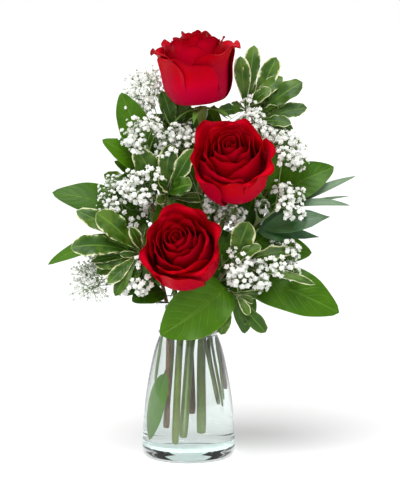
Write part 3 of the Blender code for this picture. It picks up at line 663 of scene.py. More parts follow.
def variegated_paint(name, light, dark, cream, vein, cream_share=0.90, gloss=0.4):
    """A pittosporum leaf: two greens in the middle and an uneven cream margin."""
    paint = Paint(name, light, Roughness=gloss, Specular_IOR_Level=0.3)
    across, along = paint.across_and_along()
    out = paint.out_from(across)
    uneven = paint.noise(paint.here(), 130.0, 3.0, 0.7)
    broad = paint.noise(paint.here(), 45.0, 2.0)
    reach = paint.plus(out, paint.times(uneven, 0.75, -0.36))
    reach = paint.plus(reach, paint.times(paint.tone(), 0.34, -0.17))
    reach = paint.plus(reach, paint.times(paint.step(along, 0.75, 1.0), 0.15))
    green = paint.lay(dark, light, broad, 0.4, 0.62)
    green = paint.lay(green, light, reach, cream_share - 0.28, cream_share - 0.05, 0.55)
    green = paint.lay(green, cream, reach, cream_share, cream_share + 0.11)
    midrib = paint.step(out, 0.1, 0.02)
    paint.set("Base Color", paint.mix(paint.times(midrib, 0.6), green, vein))
    ripple = paint.math("PINGPONG", paint.times(along, 8.0, paint.times(out, -1.5)), 0.5)
    rise = paint.plus(paint.times(ripple, 0.8), paint.times(uneven, 0.6))
    paint.bump(paint.times(midrib, -0.7, rise), 0.5, 0.0006)
    return paint.material


def ribbed_paint(name, body, pale, gloss=0.35):
    """A leaf whose veins run lengthwise, as on ruscus and narrow blades."""
    paint = Paint(name, body, Roughness=gloss)
    across, _ = paint.across_and_along()
    ribs = paint.math("PINGPONG", paint.times(across, 9.0), 0.5)
    cloud = paint.noise(paint.here(), 90.0, 4.0)
    green = paint.lay(body, pale, cloud, 0.35, 0.8, 0.5)
    green = paint.lay(green, pale, ribs, 0.1, 0.0, 0.35)
    paint.set("Base Color", paint.lay(green, pale, paint.out_from(across), 0.1, 0.02, 0.5))
    paint.bump(paint.plus(ribs, paint.times(cloud, 0.4)), 0.4, 0.0004)
    return paint.material


def stem_paint(name, body, other, scale=(260, 260, 60), gloss=0.45, rough=0.25):
    """A stem with long flecks of a second colour and small bumps."""
    paint = Paint(name, body, Roughness=gloss)
    flecks = paint.noise(paint.here(scale), 1.0, 4.0)
    patches = paint.noise(paint.here((40, 40, 18)), 1.0, 3.0)
    mottled = paint.lay(body, other, patches, 0.4, 0.75, 0.6)
    paint.set("Base Color", paint.lay(mottled, other, flecks, 0.45, 0.7, 0.6))
    paint.bump(flecks, rough, 0.0008)
    return paint.material


def floret_paint(name, white, calyx):
    """White petals that turn green towards the calyx."""
    paint = Paint(name, white, Roughness=0.75, Sheen_Weight=0.2)
    cloud = paint.noise(paint.here(), 700.0, 2.0)
    tone = paint.plus(paint.tone(), paint.times(cloud, 0.3, -0.15))
    paint.set("Base Color", paint.lay(calyx, white, tone, 0.25, 0.75))
    paint.set("Roughness", paint.times(cloud, 0.2, 0.6))
    paint.bump(cloud, 0.3, 0.0003)
    return paint.material


def clear_paint(name, tint, index, wavy=False):
    """Glass or water, the glass with the slight waves of a drawn bottle."""
    paint = Paint(name, tint, Roughness=0.0, IOR=index, Transmission_Weight=1.0)
    if wavy:
        paint.bump(paint.noise(paint.here((9, 9, 30)), 1.0, 1.0), 0.12, 0.0012)
    return paint.material


def painted_base_light_paint(name):
    """Pale aqua painted on the vase's bottom face in place of the light seen through its thick glass base, with a fine
    speckle.
    """
    paint = Paint(name, (0.78, 0.93, 0.90), Roughness=0.6)
    speckle = paint.noise(paint.here(), 300.0, 3.0)
    paint.set("Base Color", paint.lay((0.74, 0.91, 0.88), (0.84, 0.95, 0.93), speckle, 0.3, 0.8))
    return paint.material


# Vase and water


def smoothed(points, pieces=3):
    """More points on a Catmull-Rom curve through (radius, height) points, with its corners kept tight."""
    line = [Vector((*point, 0)) for point in points]
    ends = [line[0], *line, line[-1]]
    made = []
    for index in range(len(line) - 1):
        a, b, c, d = ends[index : index + 4]
        reach = (c - b).length
        start = (c - a).normalized() * min(reach, (b - a).length if index else reach)
        stop = (d - b).normalized() * min(reach, (d - c).length if index < len(line) - 2 else reach)
        for step in range(pieces):
            t = step / pieces
            made.append(
                (2 * t**3 - 3 * t**2 + 1) * b + (t**3 - 2 * t**2 + t) * start
                + (3 * t**2 - 2 * t**3) * c + (t**3 - t**2) * stop
            )
    made.append(line[-1])
    return [(max(point.x, 0.0), point.y) for point in made]


def turn(name, outline, sides):
    """A closed turned body: one ring, extruded and resized along the outline, with both ends drawn to the axis."""
    rings = [point for point in outline if point[0] > 1e-4]
    deselect_all()
    bpy.ops.mesh.primitive_circle_add(vertices=sides, radius=rings[0][0], location=(0, 0, rings[0][1]))
    obj = bpy.context.object
    obj.name = obj.data.name = name
    bpy.ops.object.transform_apply(location=True)
    bpy.ops.object.mode_set(mode="EDIT")
    bpy.ops.mesh.select_all(action="SELECT")
    for (radius, height), (wider, higher) in zip(rings, rings[1:]):
        bpy.ops.mesh.extrude_region_move(TRANSFORM_OT_translate={"value": (0, 0, higher - height)})
        scale = wider / radius
        bpy.ops.transform.resize(value=(scale, scale, 1), center_override=(0, 0, higher))
    bpy.ops.mesh.extrude_region_move(TRANSFORM_OT_translate={"value": (0, 0, outline[-1][1] - rings[-1][1])})
    bpy.ops.mesh.merge(type="CENTER")
    bpy.ops.mesh.select_all(action="DESELECT")
    bpy.ops.mesh.select_non_manifold(extend=False)
    bpy.ops.mesh.extrude_region_move(TRANSFORM_OT_translate={"value": (0, 0, outline[0][1] - rings[0][1])})
    bpy.ops.mesh.merge(type="CENTER")
    bpy.ops.mesh.select_all(action="SELECT")
    bpy.ops.mesh.remove_doubles(threshold=1e-6)
    bpy.ops.mesh.normals_make_consistent(inside=False)
    bpy.ops.object.mode_set(mode="OBJECT")
    return obj


class BouquetVase(bpy.types.Operator):
    """Turns the glass vase and the water in it"""

    bl_idname = "bouquet.vase"
    bl_label = "Vase and water"

    def execute(self, context):
        look = context.scene.bouquet_vase
        outline = turned_outline("vase")
        lip = max(range(len(outline)), key=lambda index: outline[index][1])
        vase = turn("glass_vase", smoothed(outline), look.sides)
        vase.visible_shadow = False
        glass = [clear_paint("clear_glass", look.glass, 1.5, wavy=True), painted_base_light_paint("ground_foot")]
        finish_piece(vase, ["vase"], glass)
        # The bottom faces take the pale aqua that is painted in place of the light seen through the glass base
        for face in vase.data.polygons:
            if face.normal.z < -0.9 and face.center.z < 0.5 * MM:
                face.material_index = 1
        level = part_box("water")[1].z
        floor = outline[-1][1] - WATER_LAP
        inside = [(radius + WATER_LAP, height) for radius, height in reversed(smoothed(outline[lip + 1 :], 2))]
        wall = [(radius, max(height, floor)) for radius, height in inside if radius > 0.001 and height < level]
        edge, rise = wall[-1][0], level + look.meniscus
        top = [(edge, level), (edge, rise), (edge - 0.8 * MM, rise - 0.5 * MM), (edge - 2.2 * MM, level)]
        water = turn("still_water", [(0, floor), *wall, *top, (edge * 0.5, level), (0, level)], look.sides)
        water.visible_shadow = False
        finish_piece(water, ["water"], [clear_paint("clear_water", look.water, 1.333)])
        return {"FINISHED"}


# Stems


def bare_stem(node, rows):
    """A copy of a branch without its leaves or flowers, with the places where they left filled."""
    bm = joined_copy(node)
    doomed = dict.fromkeys(vert for rings, _ in growths(bm, rows) for ring in rings[:-1] for vert in ring)
    bmesh.ops.delete(bm, geom=list(doomed), context="VERTS")
    bmesh.ops.holes_fill(bm, edges=[edge for edge in bm.edges if edge.is_boundary])
    bmesh.ops.join_triangles(
        bm, faces=bm.faces, angle_face_threshold=math.radians(60), angle_shape_threshold=math.radians(170)
    )
    bm.normal_update()
    for vert in bm.verts:
        vert.co += vert.normal * STEM_SWELL
    mesh = bpy.data.meshes.new(f"{node}_bare")
    bm.to_mesh(mesh)
    bm.free()
    obj = bpy.data.objects.new(f"{node}_bare", mesh)
    bpy.context.scene.collection.objects.link(obj)
    mesh.uv_layers.new(name="sheet")
    apply_modifier(obj, "SUBSURF", levels=2, render_levels=2)
    return obj


def joined(name, objects):
    make_active(objects[0])
    for obj in objects:
        obj.select_set(True)
    bpy.ops.object.join()
    objects[0].name = objects[0].data.name = name
    return objects[0]


# Leaves


# What a kind of leaf looks like: where it is widest, its fullness, the rise of its sides, how many waves its edge has
# and how high, how drawn-out its tip is, its twist, its curl and how slowly it widens from its foot
Outline = namedtuple("Outline", "widest full keel waves ripple drawn twist curl foot", defaults=[0.0])
SALAL = Outline(0.46, 0.56, 0.12, 2.2, 0.03, 0.22, 0.10, 0.04)
PITTOSPORUM = Outline(0.66, 0.40, 0.10, 3.6, 0.12, 0.0, 0.25, 0.06, 0.60)
RUSCUS = Outline(0.48, 0.85, 0.12, 1.5, 0.02, 0.5, 0.10, 0.02)
WILLOW = Outline(0.5, 0.7, 0.3, 1.0, 0.01, 0.2, 0.15, 0.03)
SEPAL = Outline(0.26, 0.9, 0.25, 2.0, 0.05, 0.55, 0.3, -0.10)


def turned_about(base, axis, angle, size):
    """A turn about an axis through a point, with a change of size, as a function on points."""
    turn_to = np.array(Matrix.Rotation(angle, 3, Vector(axis)))

    def moved(points):
        return base + (np.asarray(points) - base) @ turn_to.T * size

    return moved


def footprint(blade):
    """Points over a leaf's blade: along its middle, and out to both of its sides."""
    shares = np.linspace(0.1, 1, 10)
    places, across, _ = blade.frames(shares)
    sides = (blade.width * 0.47 * np.sin(math.pi * shares**0.8).clip(0.05, 1))[:, None] * across
    return np.stack([places - sides, places, places + sides])


def pierced(tree, first, second):
    """Whether the straight way from one point to another passes through a surface of a search tree."""
    way = second - first
    length = np.linalg.norm(way)
    if tree is None or length == 0:
        return False
    return tree.ray_cast(Vector(first), Vector(way / length), length)[0] is not None


def crossings(print_of_leaf, trees):
    """How often the ribs of a leaf, across it and along it, pass through the surfaces already there."""
    ribs = [*print_of_leaf, *print_of_leaf.transpose(1, 0, 2)]
    return sum(pierced(tree, *pair) for rib in ribs for pair in zip(rib, rib[1:]) for tree in trees)


def tree_of(objects):
    """One search tree over the surfaces of some objects that stand unturned at the origin."""
    points, faces = [], []
    for obj in objects:
        start = len(points)
        points.extend(tuple(vert.co) for vert in obj.data.vertices)
        faces.extend(tuple(start + corner for corner in face.vertices) for face in obj.data.polygons)
    return BVHTree.FromPolygons(points, faces) if faces else None


def petal_tree():
    """The petals that are already in the scene."""
    return tree_of([obj for obj in bpy.data.objects if obj.name.endswith("inner_petals") or "guard_petal" in obj.name])


def tipped_clear(blade, trees):
    """How a leaf is tipped about its foot by the least that clears it: None where it stays as it is."""
    across, _ = blade.middle_ways()
    ways = []
    for order, angle in enumerate(TIPS):
        moved = turned_about(blade.at(0.0), across, angle, 1.0)
        ways.append((crossings(moved(footprint(blade)), trees), order, moved))
        if not ways[-1][0]:
            break
    _, order, moved = min(ways, key=lambda way: way[:2])
    return moved if order else None


# Smaller leaves beside each leaf of a sprig: turned aside, tipped back and how large
COMPANIONS = {
    "pittosporum": ((0.75, -0.35, 0.72), (-0.85, -0.6, 0.62)),
    "ruscus": ((0.5, -0.5, 0.7),),
    "salal": ((0.8, -0.45, 0.62), (-0.75, -0.6, 0.55)),
}


def add_leaf(sheets, blade, kind, grid, chance, stalk=0.75 * MM, neck=0.05, moved=None):
    """A blade over its arch, with a stalk that runs on as a midrib along its underside."""
    moved = moved or np.asarray
    u, v, faces = grid
    s = (v + 1) / 2
    power = math.log(0.5) / math.log(kind.widest)
    reach = neck + (1 - neck) * s
    full = np.sin(math.pi * np.clip(s, 0, 1) ** power).clip(0, 1) ** kind.full
    full = full * (1 - kind.drawn * np.clip((s - 0.72) / 0.28, 0, 1) ** 1.2)
    full = full * np.clip(s / kind.widest, 0, 1) ** kind.foot
    half = blade.width / 2 * 1.03 * np.maximum(full, 0.012)
    sway_size = chance.uniform(-0.03, 0.03) * blade.length
    bow = kind.curl * blade.length * chance.uniform(0.4, 1.3)

    def spine(shares):
        places, across, upper = blade.frames(shares)
        inner = np.clip((shares - neck) / (1 - neck), 0, 1)
        sway = sway_size * np.sin(math.pi * inner)
        drop = bow * np.clip((inner - 0.55) / 0.45, 0, 1) ** 2
        return places + sway[:, None] * across - drop[:, None] * upper, across, upper

    places, across, upper = spine(reach)
    angle = kind.twist * chance.uniform(-1, 1) * (s - 0.3)
    side = np.cos(angle)[:, None] * across + np.sin(angle)[:, None] * upper
    lift_way = np.cos(angle)[:, None] * upper - np.sin(angle)[:, None] * across
    wave = math.tau * (kind.waves * s + chance.random()) + np.sign(u) * chance.uniform(0.4, 1.6)
    lift = kind.keel * half * np.abs(u) ** 1.4 + kind.ripple * blade.width * np.sin(wave) * np.abs(u) ** 2.2 * full
    points = places + (u * half)[:, None] * side + lift[:, None] * lift_way
    tone = chance.random()
    sheets.add(moved(points), faces, np.stack([(u + 1) / 2, s], axis=1), tone)
    steps = np.linspace(0, 0.95, 12)
    places, _, upper = spine(steps)
    line = list(places - upper * 0.25 * MM)
    radii = [stalk * (1 - 0.85 * step) for step in steps]
    if blade.stalk is not None:
        line.insert(0, blade.stalk)
        radii.insert(0, stalk)
    add_tube(sheets, moved(line), radii, 6, tone, STALK)


def add_companions(sheets, node, blade, kind, grid, chance, heads, petals):
    """Adds the smaller leaves that leave the stem beside a leaf, where they stay clear of the blooms."""
    for turn_by, tip_by, size in COMPANIONS.get(node.split("_")[0], ()):
        base = blade.at(0.0)
        across, upper = blade.middle_ways()
        aside = turned_about(base, upper, turn_by * chance.uniform(0.8, 1.2), size * chance.uniform(0.85, 1.1))
        back = turned_about(base, across, tip_by * chance.uniform(0.6, 1.4), 1.0)
        reach = back(aside(blade.at(np.linspace(0, 1, 9))))
        if in_bloom(heads, reach, LEAF_MARGIN) or in_vase(reach) or crossings(back(aside(footprint(blade))), [petals]):
            continue
        add_leaf(sheets, blade, kind, grid, chance, stalk=0.6 * MM, moved=lambda points: back(aside(points)))


def thicken_leaves(obj, wall):
    """Gives the blades their wall. The tubes' faces keep theirs, because they are closed already."""
    mesh = obj.data
    bm = bmesh.new()
    bm.from_mesh(mesh)
    bm.verts.ensure_lookup_table()
    layer = bm.loops.layers.uv.verify()
    blade_faces = [face for face in bm.faces if face.material_index == 0]
    copies = bmesh.ops.duplicate(bm, geom=blade_faces)
    lower = [item for item in copies["geom"] if isinstance(item, bmesh.types.BMFace)]
    bm.normal_update()
    originals = {vert for face in blade_faces for vert in face.verts}
    partner = {first: second for first, second in copies["vert_map"].items() if first in originals}
    moves = {second: first.co - first.normal * wall for first, second in partner.items()}
    rims = []
    for edge in [edge for edge in bm.edges if edge.is_boundary and edge.verts[0] in originals]:
        loop = edge.link_loops[0]
        after = loop.link_loop_next
        rims.append((loop.vert, after.vert, loop[layer].uv.copy(), after[layer].uv.copy()))
    bmesh.ops.reverse_faces(bm, faces=lower)
    for face in lower:
        face.material_index = UNDERSIDE
    for vert, place in moves.items():
        vert.co = place
    for start, end, start_uv, end_uv in rims:
        face = bm.faces.new((end, start, partner[start], partner[end]))
        face.material_index = 0
        for loop, uv in zip(face.loops, (end_uv, start_uv, start_uv, end_uv)):
            loop[layer].uv = uv
    bm.to_mesh(mesh)
    bm.free()


def finish_leaves(sheets, name, wall, replaced, finishes):
    """Gathers leaves into one piece, thickens their blades and hangs the piece on the bouquet."""
    leaves = sheets.to_object(name)
    thicken_leaves(leaves, wall)
    finish_piece(leaves, replaced, finishes)


# More salal leaves on each stem: height on it, tip, width, the way the upper side looks, arch. All in millimetres
INNER_LEAVES = {
    "salal_stem_back": (
        (284, (-12, 42, 347), 32, (0, -1, 0.2), 5),
        (276, (26, 42, 352), 30, (0, -1, 0.2), 5),
        (262, (4, 36, 352), 30, (0.1, -1, 0.1), 5),
        (270, (56, 40, 338), 28, (0, -1, 0.2), 5),
        (240, (-24, 40, 282), 32, (-0.1, -1, 0.4), 6),
        (214, (12, 20, 268), 32, (0, -1, 0.4), 5),
        (196, (52, 38, 206), 34, (0.2, -0.8, 0.7), 7),
        (250, (52, 64, 290), 32, (0.2, 0.9, 0.3), 6),
        (206, (-44, 70, 196), 34, (-0.2, 0.8, 0.6), 8),
        (262, (-36, 72, 296), 30, (-0.2, 0.9, 0.3), 6),
    ),
    "salal_stem_left": (
        (174, (-56, -24, 161), 27, (0, -0.8, 0.7), 5),
        (228, (-14, 16, 272), 26, (0.1, -1, 0.2), 4),
        (204, (-74, 8, 236), 30, (-0.1, -0.9, 0.5), 6),
        (182, (-66, -16, 166), 28, (-0.1, -0.9, 0.5), 7),
        (262, (-62, 22, 332), 28, (-0.2, -0.9, 0.3), 5),
    ),
    "salal_stem_right": (
        (176, (50, -8, 206), 28, (0, -0.9, 0.5), 5),
        (180, (34, -4, 224), 26, (0, -0.9, 0.5), 5),
        (184, (56, -6, 238), 26, (0, -1, 0.3), 4),
        (222, (74, 22, 276), 30, (0, -1, 0.3), 5),
        (200, (92, 8, 238), 30, (0.1, -0.9, 0.4), 6),
    ),
}

# Where else an inner leaf's tip may go to clear its neighbours, in millimetres
INNER_STEPS = [(x, y, z) for y in (0, 6, -6, 12, -12, 18) for x in (0, 5, -5) for z in (0, 5, -5)]


def stem_middle(node, height):
    """The middle of a stem at a height, from the points of its mesh that are nearest to it."""
    points = np.array([vert.co for vert in NODES[node].data.vertices])
    near = points[np.argsort(np.abs(points[:, 2] - height))[:18]]
    return near.mean(0)


class BouquetSalal(bpy.types.Operator):
    """Grows the salal leaves and their woody stems"""

    bl_idname = "bouquet.salal"
    bl_label = "Salal"

    def execute(self, context):
        look = context.scene.bouquet_greens
        finishes = [
            leaf_paint("salal_leaf", look.salal_light, look.salal_dark, look.vein),
            leaf_paint("salal_underside", look.salal_under, look.salal_light, look.vein, gloss=0.55, under=True),
            stem_paint("salal_stalk", (0.16, 0.25, 0.05), (0.22, 0.10, 0.04)),
        ]
        grid = grid_template(14, 26)
        chance = random.Random(11)
        heads = [Head(rose) for rose in ROSES]
        petals = petal_tree()
        obstacles = [petals, tree_of([NODES["vase"]])]
        for node in nodes_named("salal_leaf"):
            sheets = Sheets()
            for blade in read_blades(node):
                if blade.stalk is not None:
                    blade.width *= STALKED_WIDER
                add_leaf(sheets, blade, SALAL, grid, chance, stalk=0.95 * MM, moved=tipped_clear(blade, obstacles))
                if blade.stalk is None:
                    add_companions(sheets, node, blade, SALAL, grid, chance, heads, petals)
            finish_leaves(sheets, f"{node}_blade", look.leaf_wall, [node], finishes)
        others = [NODES[name] for name in NODES if not name.startswith(("water", "salal_leaf", "babys_breath"))]
        around = [petals, tree_of(others), tree_of(pieces_named("_blade"))]
        for stem in sorted(INNER_LEAVES):
            sheets = Sheets()
            for height, tip, width, facing, arch in INNER_LEAVES[stem]:
                base = stem_middle(stem, height * MM)
                ways = []
                for order, step in enumerate(INNER_STEPS):
                    blade = Blade.between(base, (np.array(tip) + step) * MM, width * MM, facing, arch * MM)
                    ways.append((crossings(footprint(blade)[:, 2:], around), order, blade))
                add_leaf(sheets, min(ways, key=lambda way: way[:2])[2], SALAL, grid, chance)
            finish_leaves(sheets, f"{stem}_inner_leaves", look.leaf_wall, [], finishes)
        bark = stem_paint("bark", look.bark, (0.30, 0.19, 0.08), (300, 300, 90), 0.6, 0.5)
        for node in nodes_named("salal_stem"):
            stem = finish_piece(bare_stem(node, LEAF_ROWS), [node], [bark])
            stem.name = f"{node}_wood"
            sheets = Sheets()
            for blade in read_blades(node):
                add_leaf(sheets, blade, SALAL, grid, chance)
            if sheets.count:
                finish_leaves(sheets, f"{node}_wet_leaf", look.leaf_wall, [], finishes)
        return {"FINISHED"}


class BouquetSprigs(bpy.types.Operator):
    """Grows the pittosporum, ruscus and narrow-bladed sprigs"""

    bl_idname = "bouquet.sprigs"
    bl_label = "Sprigs"

    def execute(self, context):
        look = context.scene.bouquet_greens
        twig = stem_paint("sprig_twig", (0.14, 0.20, 0.06), (0.20, 0.13, 0.06))
        variegated = [
            variegated_paint("pittosporum_leaf", look.pittosporum_light, look.pittosporum_dark, look.cream, look.vein),
            variegated_paint(
                "pittosporum_underside", (0.25, 0.36, 0.16), look.pittosporum_light, look.cream, look.vein, 0.94, 0.6
            ),
            twig,
        ]
        ruscus = ribbed_paint("ruscus_leaf", look.ruscus, (0.07, 0.17, 0.06))
        willow = ribbed_paint("narrow_blade", look.willow, (0.24, 0.34, 0.22), 0.55)
        kinds = {
            "pittosporum": (PITTOSPORUM, variegated, grid_template(10, 18)),
            "ruscus": (RUSCUS, [ruscus, ruscus, twig], grid_template(10, 22)),
            "willow": (WILLOW, [willow, willow, twig], grid_template(4, 26)),
        }
        chance = random.Random(23)
        heads = [Head(rose) for rose in ROSES]
        petals = petal_tree()
        obstacles = [petals, tree_of([NODES["vase"]])]
        for node in nodes_named(*kinds):
            slot = node.split("_")[0]
            kind, finishes, grid = kinds[slot]
            sheets = Sheets()
            for blade in read_blades(node):
                add_leaf(sheets, blade, kind, grid, chance, stalk=0.6 * MM, moved=tipped_clear(blade, obstacles))
                add_companions(sheets, node, blade, kind, grid, chance, heads, petals)
            finish_leaves(sheets, f"{node}_leaves", look.leaf_wall * 0.8, [node], finishes)
            stem = bare_stem(node, LEAF_ROWS)
            stem.name = f"{node}_twigs"
            finish_piece(stem, [], [twig])
        return {"FINISHED"}


# Roses


def rim_height(depth):
    """How high a petal's rim stands, as a share of the head: a dome that falls away towards the guard petals."""
    if depth < 0.28:
        return 1.035 - 0.06 * (1 - depth / 0.28) ** 2
    return 1.035 - 0.315 * ((depth - 0.28) / 0.72) ** 1.35


def petal_curve(head, depth, lip, bend, lift, flare):
    """A petal's line from claw to rim as (radius, height), for a petal at a depth from 0, the core, to 1."""
    height, radius = head.height, head.radius
    belly = (0.07 + 0.85 * depth**0.9) * radius
    top = rim_height(depth) * lift * height
    slim = 1 - 0.4 * max(flare - 1, 0)
    points = [
        (0.07 * radius + 0.05 * radius * depth, 0.035 * height - 0.012 * height * depth),
        (0.10 * radius + 0.66 * belly * slim, (0.12 - 0.055 * depth) * height),
        (belly * 1.02 * slim, (0.36 - 0.09 * depth) * height),
        (belly * (0.84 + 0.17 * depth), 0.74 * top),
        (belly * (0.60 + 0.46 * depth * flare) + 0.02 * radius, top),
    ]
    line = [np.array(point) for point in smoothed(points, 8)]
    way = line[-1] - line[-2]
    heading = math.atan2(way[1], way[0])
    for step in range(1, 11):
        turned = heading - bend * step / 10
        line.append(line[-1] + lip * abs(bend) / 10 * np.array((math.cos(turned), math.sin(turned))))
    line = np.array(line)
    lengths = np.concatenate([[0], np.cumsum(np.linalg.norm(np.diff(line, axis=0), axis=1))])
    spread = np.linspace(0, lengths[-1], PETAL_STEPS)
    return np.interp(spread, lengths, line[:, 0]), np.interp(spread, lengths, line[:, 1]), lengths[-1]


# A petal's bearing on its head: its depth from 0, the core, to 1, its angle and width, the radius of its lip and how
# far that rolls, how high and how wide it stands, how pointed it is, how it winds inwards, how uneven it is, how its
# rim tilts and how wide its point is
Petal = namedtuple(
    "Petal", "depth angle width lip bend lift flare point wind uneven tilt tip_width",
    defaults=[1.0, 1.0, 0.04, 0.016, 1.0, 0.0, 0.22],
)


def add_petal(sheets, head, grid, petal, chance):
    """A petal shaped from a grid: each column of it follows the petal's curve, and is wound round the head."""
    u, v, faces = grid
    s = (v + 1) / 2
    radius, height = np.zeros(len(u)), np.zeros(len(u))
    phase, second = chance.uniform(0, math.tau), chance.uniform(0, math.tau)
    steps = np.linspace(0, 1, PETAL_STEPS)
    belly = (0.07 + 0.85 * petal.depth**0.9) * head.radius
    outer = min(1.0, petal.depth * 1.25)
    for column in np.unique(np.round(u, 6)):
        here = np.abs(u - column) < 1e-5
        around = petal.width / (2 * max(belly, 0.1 * head.radius)) * column
        depth = min(max(petal.depth + petal.wind * around, 0.0), 1.08)
        pointed = math.exp(-((column / petal.tip_width) ** 2))
        bend = petal.bend * (1 - 0.62 * outer * pointed + 0.16 * math.sin(2.3 * column + phase))
        lift = petal.lift * (1 + petal.tilt * column + 0.012 * petal.uneven * math.sin(3.1 * column + second))
        r, z, far = petal_curve(head, depth, petal.lip, bend, lift, petal.flare)
        top = 1 - 0.13 * abs(column) ** 2.6 + 0.012 * math.sin(5.1 * column + second)
        at = s[here] * top
        tip = petal.point * pointed * far * np.clip((s[here] - 0.8) / 0.2, 0, 1) ** 1.5
        way = np.array((r[-1] - r[-3], z[-1] - z[-3]))
        way /= np.linalg.norm(way)
        radius[here] = np.interp(at, steps, r) + tip * way[0]
        height[here] = np.interp(at, steps, z) + tip * way[1]
    claw = 0.30 + 0.70 * np.clip(s / 0.55, 0, 1) ** 0.8
    body = claw * (1 - 0.10 * np.clip((s - 0.7) / 0.3, 0, 1) ** 2)
    around = u * body * petal.width / (2 * np.maximum(np.maximum(radius, 0.75 * belly), 2.5 * MM))
    edge = np.clip((np.abs(u) - 0.72) / 0.28, 0, 1) ** 2 * np.clip((s - 0.35) / 0.5, 0, 1)
    high = np.clip((s - 0.55) / 0.45, 0, 1)
    size = petal.uneven * min(1.0, 0.25 + petal.depth)
    swell = 0.9 * np.sin(3.0 * u + phase) + 0.5 * np.sin(7.0 * u + second)
    radius = radius + (1.6 * MM * edge + swell * MM * high) * size
    height = height + (0.8 * np.sin(4.3 * u + second) + 0.35 * np.sin(9.0 * u + phase)) * MM * high * petal.uneven
    dent = 0.8 * MM * np.sin(5 * s + phase) * np.cos(2.6 * u + second) * np.clip(s / 0.3, 0, 1) * size
    points = head.place(radius + dent, petal.angle + around, height)
    sheets.add(points, faces, np.stack([(u + 1) / 2, s], axis=1), chance.random(), 0)


# Lift, flare, pointedness, turn in degrees and tilt of the rim of each rose's five guard petals, in the frame's order
GUARDS = {
    "rose_top": (
        (1.04, 1.34, 0.10, -15, 0.12), (1.02, 1.05, 0.06, 0, 0), (1.0, 1.0, 0.05, 0, 0),
        (1.06, 1.10, 0.08, 3, -0.03), (0.92, 1.06, 0.06, -13, -0.10),
    ),
    "rose_middle": (
        (0.94, 0.90, 0.06, 0, 0), (1.0, 1.12, 0.11, 0, 0), (0.93, 0.86, 0.05, 0, 0),
        (0.88, 0.84, 0.06, 0, 0), (0.94, 1.02, 0.06, 0, 0),
    ),
    "rose_low": (
        (0.96, 0.86, 0.08, 0, 0), (0.92, 0.86, 0.05, 0, 0), (0.90, 0.84, 0.05, 0, 0),
        (0.88, 0.84, 0.05, 0, 0), (0.95, 0.94, 0.09, 0, 0),
    ),
}
# How much broader and flatter each rose's dome of inner petals is
DOMES = {"rose_top": 0.15, "rose_middle": 0.03, "rose_low": 0.0}
# How freely each rose's lips roll out
LIPS = {"rose_top": 1.0, "rose_middle": 0.8, "rose_low": 0.8}


def finish_petals(sheets, name, wall, node, finishes):
    """Gathers petals into one piece, gives them a wall and hangs the piece on the bouquet."""
    petals = sheets.to_object(name)
    apply_modifier(petals, "SOLIDIFY", thickness=wall, offset=-1, material_offset=1, use_even_offset=False)
    finish_piece(petals, [node], finishes)


class BouquetRoses(bpy.types.Operator):
    """Unfolds the petals of the rose heads"""

    bl_idname = "bouquet.roses"
    bl_label = "Rose heads"

    def execute(self, context):
        look = context.scene.bouquet_roses
        # Each side's darker red carries the painted shade towards the claw: deep red inside, crimson on the back
        finishes = [
            petal_paint("petal_back", Color(look.scarlet) * 0.76, look.crimson, look.rim),
            petal_paint("petal_inside", look.scarlet, look.deep_red_and_shade, look.rim),
        ]
        for seed, rose in enumerate(ROSES):
            chance = random.Random(40 + seed)
            head = Head(rose)
            lip = look.lip * LIPS[rose]
            grid = grid_template(15, 19)
            sheets = Sheets()
            for index in range(look.inner_petals):
                depth = 0.84 * (index / (look.inner_petals - 1)) ** 0.93
                petal = Petal(
                    depth=depth,
                    angle=GOLDEN_ANGLE * index + chance.uniform(-0.1, 0.1),
                    width=(0.42 + 1.26 * depth**0.8) * head.radius,
                    lip=lip * (0.3 + 0.8 * depth),
                    bend=math.radians(20 + 128 * depth),
                    lift=chance.uniform(0.975, 1.02) + DOMES[rose] * (depth - 0.3),
                    point=0.01 + 0.035 * depth,
                    uneven=1.2,
                )
                add_petal(sheets, head, grid, petal, chance)
            finish_petals(sheets, f"{rose}_inner_petals", look.petal_wall, f"{rose}_heart", finishes)
            grid = grid_template(23, 25)
            for number, (lift, flare, point, turned, tilt) in enumerate(GUARDS[rose]):
                sheets = Sheets()
                petal = Petal(
                    depth=0.93 + 0.07 * ((number * 2) % 5) / 4,
                    angle=math.tau * number / 5 + math.radians(turned) + chance.uniform(-0.08, 0.08),
                    width=1.80 * head.radius,
                    lip=lip * chance.uniform(1.05, 1.35),
                    bend=math.radians(chance.uniform(125, 165)),
                    lift=lift, flare=flare, point=point, wind=0.035, uneven=1.5, tilt=tilt, tip_width=0.36,
                )
                add_petal(sheets, head, grid, petal, chance)
                name = f"{rose}_guard_petal_{number + 1}"
                finish_petals(sheets, name, look.petal_wall * 1.2, f"{rose}_petal_{number + 1}", finishes)
        return {"FINISHED"}


class BouquetRoseStems(bpy.types.Operator):
    """Grows the rose stems with their hips and sepals"""

    bl_idname = "bouquet.rose_stems"
    bl_label = "Rose stems"

    def execute(self, context):
        look = context.scene.bouquet_greens
        green = stem_paint("rose_stem", look.rose_stem, (0.20, 0.30, 0.07), (200, 200, 40), 0.42, 0.2)
        sepal = leaf_paint("sepal", (0.17, 0.31, 0.06), (0.09, 0.20, 0.03), look.vein, 7.0, 0.5, 0.25)
        grid = grid_template(6, 16)
        chance = random.Random(5)
        for rose in ROSES:
            node = f"{rose}_stem"
            stem = bare_stem(node, LEAF_ROWS)
            stem.name = f"{node}_green"
            finish_piece(stem, [node], [green])
            sheets = Sheets()
            for blade in read_blades(node):
                add_leaf(sheets, blade, SEPAL, grid, chance, stalk=0.5 * MM, neck=0.0)
            finish_leaves(sheets, f"{rose}_sepals", 0.5 * MM, [], [sepal, sepal, green])
        return {"FINISHED"}


# Baby's breath


